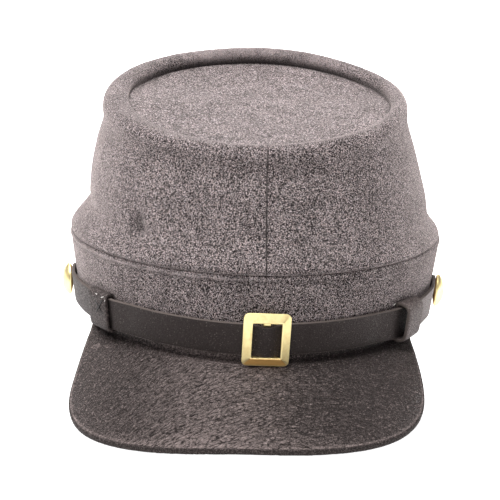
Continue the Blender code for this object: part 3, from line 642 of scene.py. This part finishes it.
def leather_finish(name, seed, grains, grain_depth, gloss, wear_and_sheen, mottled, creased=False):
    """Black hide with a fine grain that has a painted glint on some pebbles and painted shade between them,
    paler with wear and painted sheen, which may be folded into creases.
    """
    made, hide, shader = begin_finish(name, {"Specular Tint": LEATHER_SPECULAR})
    whole = hide.place()
    place = whole.moved(seed * 0.41, seed * 0.23, seed * 0.31)
    pebbles = place.cells(grains)
    own = place.cells(grains, output=1)
    # Painted shade in the gaps between the pebbles, and painted glints on some of them.
    gap = ((pebbles - 0.36) * 4.5).clamped()
    fine = place.noise(grains * 1.3, 2.0, 0.6)
    broad = place.noise(160.0, 3.0, 0.6, 0.6)
    height = own * 0.8 - pebbles * 1.6 + fine * 0.8
    glints = ((own - 0.72) * 4.0).clamped()
    grain = ((fine - 0.5) * 1.2 + (own - 0.5) * 1.2 + glints - gap * 0.8) * mottled
    # Paler with wear and with painted sheen where the mesh marks it.
    paleness = (grain + (broad - 0.5) * 0.2 + wear_and_sheen + hide.mark("wear_and_sheen")).clamped()
    rough = gap * 0.25 + (own - 0.5) * 0.4 * mottled + (broad - 0.5) * 0.08 + (1.0 - gloss)
    colour = paleness.blend(LEATHER_BLACK, LEATHER_WEAR_AND_SHEEN)
    if creased:
        x, y = whole.along(0), whole.along(1)
        start, bend = CREASE_SLOPE
        level = hide.math("MINIMUM", x, CREASES_TURN_UNTIL)
        across = y - level * start + level * level * (bend / 2.0)
        lines = hide.node("CombineXYZ", {}, {0: x * CREASES_STRETCH, 1: across})
        wander = place.noise(300.0, 3.0, output=1)
        sockets = {0: wander, 1: (CREASES_WANDER, CREASES_WANDER, 0.0), 2: lines}
        bent = hide.node("VectorMath", {"operation": "MULTIPLY_ADD"}, sockets)
        folds, finer = (bent.cells(scale, "DISTANCE_TO_EDGE") for scale in CREASES_PER_METRE)
        kept = ((place.noise(600.0) - 0.36) * 4.0).clamped()
        folded = hide.mark("folded")
        valley = ((1.0 - folds * 8.0).clamped() * kept + (1.0 - finer * 5.0).clamped() * 0.5) * folded
        height = height * 0.6 - valley * 1.6 + (folds * 5.0 + finer * 2.0) * folded
        # Painted shade in the creases and where the mesh marks it.
        crease_shade = (valley + hide.mark("shaded_crease")).clamped()
        # A painted highlight on the tops of the folds.
        paleness = (paleness + ((finer - 0.15) * 0.6 + (folds - 0.2) * 0.3) * folded).clamped()
        colour = crease_shade.blend(paleness.blend(LEATHER_BLACK, LEATHER_WEAR_AND_SHEEN), LEATHER_PAINTED_SHADE)
        rough += crease_shade * 0.35
    # Cut edges are paler: the cut side, with a painted highlight.
    cut_edge_and_highlight = hide.mark("cut_edge_and_highlight")
    cut_edge_and_highlight.blend(colour, LEATHER_CUT_AND_HIGHLIGHT).feed(shader, "Base Color")
    (rough + cut_edge_and_highlight * 0.3).feed(shader, "Roughness")
    height.feed_bump(shader, 1.0, grain_depth)
    return made


PEAK_SCUFF = (-73.0, -75.5, -6.8)  # a small ring rubbed pale, in mm
PEAK_SCUFF_RADIUS = 1.7 * MM
PEAK_EDGE_ROWS = 9


def make_peak():
    surface, places = through(peak_rows(), PEAK_ROW)
    surface = surface[:, ::-1]
    up = places[:, None]
    x, y = surface[..., 0], surface[..., 1]
    flat = fades(up, 12.0, 10.0)
    folded = (0.3 + 0.7 * fades(x, 82.0, -56.0)) * (0.2 + 0.8 * fades(x, -80.0, 36.0))
    creased = flat * folded
    folded *= 0.3 + 0.7 * fades(up, 10.0, 4.0)
    start, bend = CREASE_SLOPE
    level = np.minimum(x, CREASES_TURN_UNTIL)
    across = y - start * level + bend / 2.0 * level**2 + 1.6 * MM * waves(surface, 7.0, 11)
    folds = waves(np.stack([x / 2.0, across, np.zeros_like(x)], -1), 1.8, 7)
    kept = smooth((waves(surface, 3.5, 12) + 0.25) / 0.4)
    shaded_crease = ridge(folds, 0.13) * kept * creased
    out = 0.08 * MM * folds * creased - 0.10 * MM * shaded_crease
    out += 0.15 * MM * waves(surface, 24.0, 8) * flat
    surface += normals(surface, False) * out[..., None]
    # Painted sheen on the middle, at the front and on the bend, a painted highlight along the edge, less on
    # the root, and real wear at a scuff.
    wear_and_sheen = 0.68 * ridge(x + 14.0 * MM, 43.0 * MM) + 0.26 * fades(y, -148.0, -12.0) - 0.11
    wear_and_sheen += 0.10 * ridge(up - 16.0 * MM, 6.0 * MM) + 0.5 * ridge(places[-1] - up, 0.8 * MM)
    wear_and_sheen -= 0.2 * (1.0 - flat)
    from_scuff = np.linalg.norm(surface - np.array(PEAK_SCUFF) * MM, axis=-1)
    wear_and_sheen += 0.6 * ridge(from_scuff - PEAK_SCUFF_RADIUS, 0.5 * MM)
    rows = shell(surface, PEAK_LEATHER, False, PEAK_EDGE_ROWS, fullness=0.5)
    # Painted shade on the cut edge and in the creases.
    edge_shade = np.full((PEAK_EDGE_ROWS, shaded_crease.shape[1]), 0.65)
    marks = {"shaded_crease": np.concatenate([0.4 * shaded_crease, edge_shade]), "wear_and_sheen": wear_and_sheen, "folded": folded}
    finish = leather_finish("peak_black_leather", 1, 1600.0, 0.34 * MM, 0.62, 0.26, 0.46, creased=True)
    return piece_from_rows("peak_hide", rows, finish, round_trip=False, marks=marks)


peak_hide = make_peak()
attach(peak_hide, "root")
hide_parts("peak")

# ---- The chin strap: a flat strap of smooth black leather. It runs from the right button through
# the keeper and over the buckle's centre bar, into the loop at the left.
STRAP_WIDTH = 15.3 * MM
STRAP_LEATHER = 1.8 * MM
STRAP_STEP = 0.9  # degrees between sections
STRAP_CORNER = 0.5 * MM
STRAP_SIDE_STEPS = 9
STRAP_PALE_EDGE = 0.3 * MM
STRAP_END_EXPONENT = 2.4  # of the curve that its ends are cut to
RIGHT_BUTTON_TURN = 83.4
BUCKLE_TURN = 5.5
STRAP_OVER_BAR = 2.1 * MM
STRAP_OVER_BAR_REACH = 5.0 * MM
STRAP_DIPS_AT_BAR = 1.2 * MM
# Turn, distance from the band and height of the strap's middle, in mm.
CHIN_STRAP = (
    (-51.0, 2.3, 10.3), (-44.0, 2.3, 10.2), (-36.0, 0.8, 10.0), (-26.0, 0.5, 9.5), (0.0, 0.5, 8.55),
    (30.0, 0.5, 8.6), (40.0, 0.8, 8.7), (48.0, 2.4, 8.8), (58.0, 2.4, 9.0), (70.0, 1.8, 9.6),
    (83.4, 0.2, 10.2), (87.3, 0.2, 10.4),
)


def along_strap(table, turn):
    """A strap's distance from the band and height at some turns, eased between the table's rows."""
    rows = np.array(table)
    span = np.clip(np.searchsorted(rows[:, 0], turn, side="right") - 1, 0, len(rows) - 2)
    part = smooth((turn - rows[span, 0]) / (rows[span + 1, 0] - rows[span, 0]))[..., None]
    return ((rows[span, 1:] + (rows[span + 1, 1:] - rows[span, 1:]) * part) * MM).T


def band_axes(turn, height):
    """Up the band and out of it, at some turns."""
    up = unit(band_point(turn, height + MM) - band_point(turn, height))
    out = band_point(turn, height, MM) - band_point(turn, height)
    return up, unit(np.cross(np.cross(up, out), up))


def rounded_box(half_width, half_height, corners, points):
    """Points round a rectangle with an arc at each corner, from the one at +x and +y."""
    outline = []
    for quarter, (x, y, corner) in enumerate(zip((1, -1, -1, 1), (1, 1, -1, -1), corners)):
        for angle in np.linspace(quarter, quarter + 1, points) * math.pi / 2:
            outline.append((x * (half_width - corner) + corner * math.cos(angle),
                            y * (half_height - corner) + corner * math.sin(angle)))
    return np.array(outline)


def strap_outline():
    """(up, out) pairs round a strap's section, with its wide sides in several steps."""
    arcs = rounded_box(STRAP_WIDTH / 2, STRAP_LEATHER / 2, (STRAP_CORNER,) * 4, 4)
    front = np.linspace(arcs[3], arcs[4], STRAP_SIDE_STEPS + 1)[1:-1]
    back = np.linspace(arcs[11], arcs[12], STRAP_SIDE_STEPS + 1)[1:-1]
    return np.concatenate([arcs[:4], front, arcs[4:12], back, arcs[12:]]) + (0.0, STRAP_LEATHER / 2)


def strap_piece(name, table, button_turn, finish):
    """A strap along its table's turns, trimmed to a curve beyond its button, with a painted sheen at the
    right.
    """
    first, last = table[0][0], table[-1][0]
    turn = np.arange(first, last + STRAP_STEP / 2, STRAP_STEP)
    end = last if button_turn > 0.0 else first
    beyond = np.clip((turn - button_turn) / (end - button_turn), 0.0, 1.0)
    narrowed = np.maximum(1.0 - beyond**STRAP_END_EXPONENT, 0.05) ** (1.0 / STRAP_END_EXPONENT)
    stand_off, height = along_strap(table, turn)
    from_bar = np.linalg.norm(band_point(turn, 0.0) - band_point(BUCKLE_TURN, 0.0), axis=-1)
    over_bar = ridge(from_bar, STRAP_OVER_BAR_REACH)
    stand_off += STRAP_OVER_BAR * over_bar
    height -= STRAP_DIPS_AT_BAR * over_bar
    up, out = band_axes(turn, height)
    outline = strap_outline()[:, None]
    rises = outline[..., :1] * narrowed[:, None]
    rows = band_point(turn, height, stand_off) + up * rises + out * outline[..., 1:]
    rows += (0.12 * MM * waves(rows, 14.0, 9))[..., None] * out
    # The cut edges are paler, with a painted highlight.
    cut_edge_and_highlight = np.abs(outline[..., 0]) > STRAP_WIDTH / 2 - STRAP_PALE_EDGE
    # A painted sheen makes the strap's right end paler.
    marks = {"cut_edge_and_highlight": np.broadcast_to(cut_edge_and_highlight * 1.0, rows.shape[:2]), "wear_and_sheen": 0.5 * fades(rows[..., 0], 72.0, 16.0)}
    return piece_from_rows(name, rows, finish, round_trip=False, marks=marks)


chin_strap_hide = strap_piece(
    "chin_strap_hide", CHIN_STRAP, RIGHT_BUTTON_TURN,
    leather_finish("strap_black_leather", 2, 1900.0, 0.07 * MM, 0.55, -0.05, 0.22))
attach(chin_strap_hide, "root")
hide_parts("chin_strap")

# ---- The strap's left end: a short strap under the left button whose front end is folded round
# the chin strap as a loop, and closed by one cross stitch of waxed thread.
STRAP_END_LEFT = (
    (-86.6, 0.15, 10.8), (-83.4, 0.15, 10.7), (-74.0, 1.2, 10.5), (-60.0, 1.1, 10.4), (-52.0, 1.4, 10.3),
)
LEFT_BUTTON_TURN = -82.2
LOOP_WALL = 1.6 * MM
# A loop's turns, then in mm: distance off the band, depth and height inside, front corners, and
# how much deeper its first end is.
LOOP_LEFT = (-53.0, -43.9, 0.4, 2.6, 16.2, 1.4, 0.0)
LOOP_BACK_CORNER = 0.5 * MM
LOOP_BEVEL = 0.35 * MM
LOOP_SECTIONS = 9


def loop_section(turn, loop, grow):
    """The loop's inner edge at one turn, or with grow its outer edge."""
    first, last, stand_off, inner_depth, inner_height, front_corner, opens = loop
    inner_depth = inner_depth + opens * (last - turn) / (last - first)
    height = along_strap(CHIN_STRAP, turn)[1]
    up, out = band_axes(turn, height)
    half_depth = inner_depth * MM / 2.0
    centre = band_point(turn, height, stand_off * MM + LOOP_WALL + half_depth)
    front, back = front_corner * MM + grow, LOOP_BACK_CORNER + grow
    corners = (front, back, back, front)
    outline = rounded_box(half_depth + grow, inner_height * MM / 2 + grow, corners, 7)
    return centre + up * outline[:, 1:] + out * outline[:, :1]


def loop_rows(loop):
    """Rows over the loop's leather: outside, rounded front edge, inside, rounded back edge."""
    first, last = loop[:2]
    nudge = math.degrees(LOOP_BEVEL / BAND_HALF_LENGTH)
    outside = np.linspace(first + nudge, last - nudge, LOOP_SECTIONS)
    inside = np.linspace(last - nudge, first + nudge, 5)
    places = [(first, LOOP_WALL - LOOP_BEVEL), *((turn, LOOP_WALL) for turn in outside)]
    places += [(last, LOOP_WALL - LOOP_BEVEL), (last, LOOP_BEVEL)]
    places += [*((turn, 0.0) for turn in inside), (first, LOOP_BEVEL)]
    return np.stack([loop_section(turn, loop, grow) for turn, grow in places])


strap_end_finish = leather_finish("strap_end_black_leather", 3, 1500.0, 0.10 * MM, 0.50, 0.14, 0.22)
strap_end_hide = strap_piece("strap_end_hide", STRAP_END_LEFT, LEFT_BUTTON_TURN, strap_end_finish)
loop_hide = piece_from_rows("left_loop_hide", loop_rows(LOOP_LEFT), strap_end_finish)
for piece in (strap_end_hide, loop_hide):
    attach(piece, "root")
    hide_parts("strap_end_left")

THREAD_SIDES = 8
CLOSED = 0.02 * MM  # the radius at a thread's ends, and in the middle of a button
CROSS_THREAD = 0.32 * MM
GLINT_THREAD = 0.19 * MM
STITCH_ARCH = 0.25 * MM
STITCH_ENDS_IN = 0.05 * MM
# Stitches on the loop's front, from end to end: turn, and mm above the loop's middle.
CROSS_STITCHES = (((-48.9, 5.3), (-45.9, 0.0)), ((-44.9, 7.0), (-49.2, -1.6)))
# The pale stitches are painted glints of the black waxed thread.
STITCH_GLINTS = (((-48.1, 8.7), (-47.4, 8.6)), ((-45.8, 7.7), (-44.3, 8.7)), ((-44.1, 6.4), (-43.8, 7.2)))


def thread_rows(points, radius):
    """Rings along a thread of the given radius, drawn to a point at both ends."""
    points = np.array(points)
    along = unit(np.gradient(points, axis=0))
    side = unit(np.cross(along, (0.3, 0.1, 0.95)))
    over = np.cross(along, side)
    sizes = np.full(len(points), radius)
    sizes[[0, -1]] = CLOSED
    angle = np.linspace(0.0, 2.0 * np.pi, THREAD_SIDES, endpoint=False)[None, :, None]
    rings = side[:, None] * np.cos(angle) + over[:, None] * np.sin(angle)
    return points[:, None] + rings * sizes[:, None, None]


def on_loop(turn, rise, off):
    """A point on the left loop's front face, or off it."""
    stand_off, inner_depth = LOOP_LEFT[2:4]
    height = along_strap(CHIN_STRAP, turn)[1]
    up, out = band_axes(turn, height)
    face = (stand_off + inner_depth) * MM + 2.0 * LOOP_WALL
    return band_point(turn, height, face) + up * rise * MM + out * off


def thread_finish(name, colour, rough):
    """Twisted thread, with painted shade between its strands."""
    made, thread, shader = begin_finish(name, {"Roughness": rough})
    twist = thread.place().noise(2600.0)
    dark = tuple(0.45 * part for part in colour)
    twist.blend((*dark, 1.0), (*colour, 1.0)).feed(shader, "Base Color")
    twist.feed_bump(shader, 0.6, 0.1 * MM)
    return made


black_thread = thread_finish("black_waxed_thread", (0.012, 0.010, 0.010), 0.5)
pale_thread = thread_finish("pale_thread", (0.85, 0.82, 0.78), 0.6)
# The black cross stitches, and pale bits of thread that are painted glints on them.
for kind, stitches, radius, finish in (
        ("cross", CROSS_STITCHES, CROSS_THREAD, black_thread),
        ("waxed", STITCH_GLINTS, GLINT_THREAD, pale_thread)):
    for number, (start, end) in enumerate(np.array(stitches)):
        path = []
        for part in np.linspace(0.0, 1.0, 7):
            turn, rise = start + (end - start) * part
            path.append(on_loop(turn, rise, STITCH_ARCH * math.sin(math.pi * part) - STITCH_ENDS_IN))
        stitch = piece_from_rows(
            f"{kind}_stitch_{number + 1}", thread_rows(path, radius), finish, rows_close=False)
        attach(stitch, "root")
        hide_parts("strap_end_left")

# ---- The right keeper: a loose loop of heavier black leather round the chin strap, whose front
# edge shows its rough grey cut side, with one pale end of thread standing up behind it.
LOOP_RIGHT = (48.8, 57.2, 0.4, 4.3, 16.3, 2.9, 1.5)
KEEPER_THREAD = 0.22 * MM
# Turn, height and distance off the band along the thread's end, in mm.
KEEPER_THREAD_PATH = (
    (48.9, 17.6, 0.7), (48.4, 17.9, 0.9), (47.9, 18.1, 1.2), (47.3, 17.9, 1.5), (46.9, 17.5, 1.6),
)

keeper_rows = loop_rows(LOOP_RIGHT)
keeper_cut_and_highlight = np.zeros(keeper_rows.shape[:2])
keeper_cut_and_highlight[[-1, 0, *range(LOOP_SECTIONS, LOOP_SECTIONS + 3)]] = 1.0  # both edges: their cut sides, paler with a painted highlight
keeper_finish = leather_finish("keeper_black_leather", 4, 1500.0, 0.10 * MM, 0.50, 0.31, 0.20)
keeper_hide = piece_from_rows("keeper_hide", keeper_rows, keeper_finish, marks={"cut_edge_and_highlight": keeper_cut_and_highlight})
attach(keeper_hide, "root")
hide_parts("keeper_right")

keeper_path = [band_point(turn, height * MM, off * MM) for turn, height, off in KEEPER_THREAD_PATH]
keeper_thread = piece_from_rows(
    "keeper_thread_end", thread_rows(keeper_path, KEEPER_THREAD), pale_thread, rows_close=False)
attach(keeper_thread, "root")
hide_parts("keeper_right")

# ---- The buckle: a cast and polished brass frame, with faces that slope outwards from a raised
# inner lip to a flat flange, and a centre bar behind that the strap passes over.
BUCKLE_HEIGHT = 8.9 * MM
BUCKLE_SKEW = math.radians(1.2)
# Loops of the frame from its back outer edge to its back inner edge: half width, half height,
# corner and depth, in mm.
BUCKLE_FRAME = (
    (10.8, 12.6, 2.4, 2.8), (11.0, 12.8, 2.6, 3.1), (10.9, 12.7, 2.5, 3.6), (10.0, 11.8, 1.9, 3.8),
    (7.5, 9.0, 0.8, 5.1), (6.75, 8.25, 0.4, 5.0), (6.75, 8.25, 0.4, 2.8),
)
BAR_WIDTH = 3.3 * MM
# The bar from the side, with a foot on the frame at each end: height and depth, in mm.
BAR_OUTLINE = (
    (-9.8, 0.45), (9.8, 0.45), (9.8, 3.3), (6.8, 3.3), (6.8, 1.7), (-8.45, 1.7), (-8.45, 3.3), (-9.8, 3.3),
)
FRAME_CORNER_POINTS = 8
BUCKLE_ROUNDED = 0.22 * MM
BUCKLE_ROUNDED_FROM = math.radians(25.0)
BRASS_BRIGHT = (1.0, 0.84, 0.43, 1.0)
BRASS_MOTTLED = (0.85, 0.65, 0.29, 1.0)
BRASS_PAINTED_SHADE = (0.78, 0.45, 0.145, 1.0)


def brass_finish(name, seed, rough):
    """Polished brass, faintly mottled, with painted shade, a dark less metallic brown, where the mesh marks
    it.
    """
    made, brass, shader = begin_finish(name, {})
    place = brass.place().moved(seed * 0.3, seed * 0.7, seed * 0.2)
    mottle = place.noise(420.0, 4.0, 0.6)
    colour = ((mottle - 0.5) * 2.0 + 0.25).clamped().blend(BRASS_BRIGHT, BRASS_MOTTLED)
    painted_shade = brass.mark("painted_shade")
    painted_shade.blend(colour, BRASS_PAINTED_SHADE).feed(shader, "Base Color")
    (mottle * 0.30 + (rough - 0.15)).feed(shader, "Roughness")
    (1.0 - painted_shade * 0.5).feed(shader, "Metallic")
    place.noise(1800.0).feed_bump(shader, 0.12, 0.1 * MM)
    return made


def on_buckle(points):
    """Points given across, up and out from the buckle's middle, brought to the band."""
    up, out = band_axes(BUCKLE_TURN, BUCKLE_HEIGHT)
    x, y, depth = np.moveaxis(points, -1, 0)[..., None]
    y, x = turned(y, x, BUCKLE_SKEW)
    return band_point(BUCKLE_TURN, BUCKLE_HEIGHT) + unit(np.cross(up, out)) * x + up * y + out * depth


buckle_finish = brass_finish("buckle_polished_brass", 1, 0.36)
frame_rows = []
for half_width, half_height, corner, depth in BUCKLE_FRAME:
    flat = rounded_box(half_width, half_height, (corner,) * 4, FRAME_CORNER_POINTS)
    frame_rows.append(np.insert(flat, 2, depth, axis=1) * MM)
frame_painted_shade = np.zeros(np.shape(frame_rows)[:2])
frame_painted_shade[3:5, 20:28] = 1.0  # painted shade on the lower bar's slope, between the mitres: the dark peak's reflection
buckle_frame = piece_from_rows(
    "buckle_frame", on_buckle(frame_rows), buckle_finish, marks={"painted_shade": frame_painted_shade})
bar_rows = np.array([[(side * BAR_WIDTH / 2, up * MM, depth * MM) for side in (-1, 1)]
                     for up, depth in BAR_OUTLINE])
buckle_bar = piece_from_rows("buckle_bar", on_buckle(bar_rows), buckle_finish, round_trip=False)
for piece in (buckle_frame, buckle_bar):
    bevel = piece.modifiers.new("rounded", "BEVEL")
    bevel.width = BUCKLE_ROUNDED
    bevel.segments = 3
    bevel.limit_method = "ANGLE"
    bevel.angle_limit = BUCKLE_ROUNDED_FROM
    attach(piece, "root")
    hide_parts("buckle")

# ---- The buttons: plain domed brass buttons, one at each end of the strap, each on a shank that
# passes through strap and band.
# Strap, turn, height and lift off the strap's face, in mm, then the degrees its face is tipped
# upwards and turned forwards on the slack shank.
BUTTONS = {
    "left": (STRAP_END_LEFT, LEFT_BUTTON_TURN, 10.9, 1.45, 8.5, 5.0),
    "right": (CHIN_STRAP, RIGHT_BUTTON_TURN, 10.6, 0.9, 5.0, 1.0),
}
# Radius and depth along the shank and its foot behind the band, in mm.
SHANK = ((0.0, -3.75), (3.1, -3.75), (3.2, -3.6), (3.2, -3.1), (3.1, -2.95), (1.3, -2.95))
# Radius and depth of the face from its back outwards, in mm: the back, the rolled rim, the dome.
BUTTON_BACK = ((1.3, -0.9), (3.5, -0.75), (5.5, -0.35), (7.0, 0.0), (8.0, 0.35))
BUTTON_FACE = BUTTON_BACK + (
    (8.28, 0.8), (8.25, 1.25), (8.0, 1.7), (7.55, 2.15),
    (6.7, 2.9), (5.6, 3.6), (4.4, 4.15), (3.1, 4.55), (1.6, 4.8), (0.0, 4.9),
)
BUTTON_SIDES = 72


def button_rings(profile, centre, ahead, up, out):
    """Rings of points round a button's axis, from radii and depths."""
    angle = np.linspace(0.0, 2.0 * math.pi, BUTTON_SIDES, endpoint=False)[:, None]
    radius, depth = np.array(profile).T[..., None, None] * MM
    radius = np.maximum(radius, CLOSED)
    return centre + ahead * radius * np.cos(angle) + up * radius * np.sin(angle) + out * depth


def make_button(side):
    strap, turn, height, lift, degrees_up, degrees_ahead = BUTTONS[side]
    stand_off = along_strap(strap, turn)[0]
    up, out = band_axes(turn, height * MM)
    ahead = unit(np.cross(up, out)) * (1.0 if side == "left" else -1.0)
    centre = band_point(turn, height * MM)
    back = centre + out * (stand_off + STRAP_LEATHER + lift * MM)
    face_up, face_out = turned(up, out, math.radians(degrees_up))
    face_ahead, face_out = turned(ahead, face_out, math.radians(degrees_ahead))
    shank = button_rings(SHANK, centre, ahead, up, out)
    rows = np.concatenate([shank, button_rings(BUTTON_FACE, back, face_ahead, face_up, face_out)])
    painted_shade = np.zeros(rows.shape[:2])
    # Painted shade on the shank and the button's back, which face the strap.
    painted_shade[:len(SHANK) + len(BUTTON_BACK)] = 1.0
    finish = brass_finish(f"button_{side}_polished_brass", len(side), 0.40)
    return piece_from_rows(f"button_{side}_dome", rows, finish, rows_close=False, marks={"painted_shade": painted_shade})


for side in BUTTONS:
    button = make_button(side)
    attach(button, "root")
    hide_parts("button_" + side)

# ---- The picture: the cap on a white floor that glows brighter away from it, with square soft
# lamps all round and overhead, the strongest behind and high at the left. It is seen from the
# front and a little above.
CAMERA_TARGET = Vector((-0.00203, 0.02895, 0.03603))
CAMERA_DISTANCE = 0.8
CAMERA_TURN = 1.95
CAMERA_RAISED = 19.45
FOCAL_PIXELS = 1541.0
PICTURE_PIXELS = 500.0
SENSOR_WIDTH = 36.0  # in mm


def direction(turn, raised):
    """A unit vector out from the cap, by degrees from the front and above the floor."""
    turn, raised = math.radians(turn), math.radians(raised)
    return Vector((math.sin(turn) * math.cos(raised), -math.cos(turn) * math.cos(raised), math.sin(raised)))


def aim(thing, target, away, distance):
    """Put a camera or lamp at a distance from its target, looking back at it."""
    thing.location = target + away * distance
    thing.rotation_euler = (-away).to_track_quat("-Z", "Y").to_euler()


camera = new_object("camera", bpy.data.cameras.new("camera"))
aim(camera, CAMERA_TARGET, direction(CAMERA_TURN, CAMERA_RAISED), CAMERA_DISTANCE)
camera.data.sensor_width = SENSOR_WIDTH
camera.data.lens = FOCAL_PIXELS / PICTURE_PIXELS * SENSOR_WIDTH
camera.data.clip_start = 0.01
bpy.context.scene.camera = camera

FLOOR_CORNERS = ((-4, -4, 0), (4, -4, 0), (4, 4, 0), (-4, 4, 0))
FLOOR_GREY = (0.30, 0.30, 0.30, 1.0)
FLOOR_BRIGHTEST = 3.33
BLACK = (0.0, 0.0, 0.0, 1.0)
WHITE = (1.0, 1.0, 1.0, 1.0)

floor_mesh = bpy.data.meshes.new("floor")
floor_mesh.from_pydata(FLOOR_CORNERS, [], [(0, 1, 2, 3)])
floor = new_object("floor", floor_mesh)
floor_finish, floor_signal, floor_shader = begin_finish("floor_white", {
    "Base Color": FLOOR_GREY, "Roughness": 0.9, "Specular IOR Level": 0.1,
    "Emission Strength": FLOOR_BRIGHTEST})
floor_place = floor_signal.place()
aside, back = floor_place.along(0), floor_place.along(1)
# How far the glow has risen on each side of the cap.
right, left = (aside * 6.0 - 0.6).clamped(), (aside * -6.0 - 0.6).clamped()
behind = (back * 4.0 + 0.4).clamped()
beside = (back * 4.0 + 1.2).clamped()
in_front = (back * -5.0 - 1.0).clamped()
at_sides = right * beside * 2.3 + left * behind * 0.9
strength = floor_signal.math("MAXIMUM", at_sides, behind * 1.1) + in_front + 1.0
(strength * 0.3).clamped().blend(BLACK, WHITE).feed(floor_shader, "Emission Color")
floor_mesh.materials.append(floor_finish)

# The lamps: degrees from the front, degrees up, and radiance.
LAMP_DISTANCE = 1.6
LAMP_SIZE = 0.86
LAMP_AIM = Vector((0.0, 0.0, 0.05))
LAMPS = {
    "front": (0, 20, 1.9), "right": (90, 45, 1.2), "high_right": (110, 70, 2.0),
    "overhead": (0, 90, 5.3), "high_left": (-60, 70, 11.0), "left": (-90, 45, 5.2),
    "back_left": (-135, 45, 2.9), "back": (180, 18, 11.5),
}
WORLD_STRENGTH = 0.16

for name, (turn, raised, radiance) in LAMPS.items():
    light = bpy.data.lights.new(name, "AREA")
    light.size = LAMP_SIZE
    light.energy = radiance * math.pi * LAMP_SIZE**2
    aim(new_object(name, light), LAMP_AIM, direction(turn, raised), LAMP_DISTANCE)

world = bpy.data.worlds.new("studio")
world.use_nodes = True
background = world.node_tree.nodes["Background"]
background.inputs["Color"].default_value = WHITE
background.inputs["Strength"].default_value = WORLD_STRENGTH
bpy.context.scene.world = world
bpy.context.scene.view_settings.view_transform = "Standard"
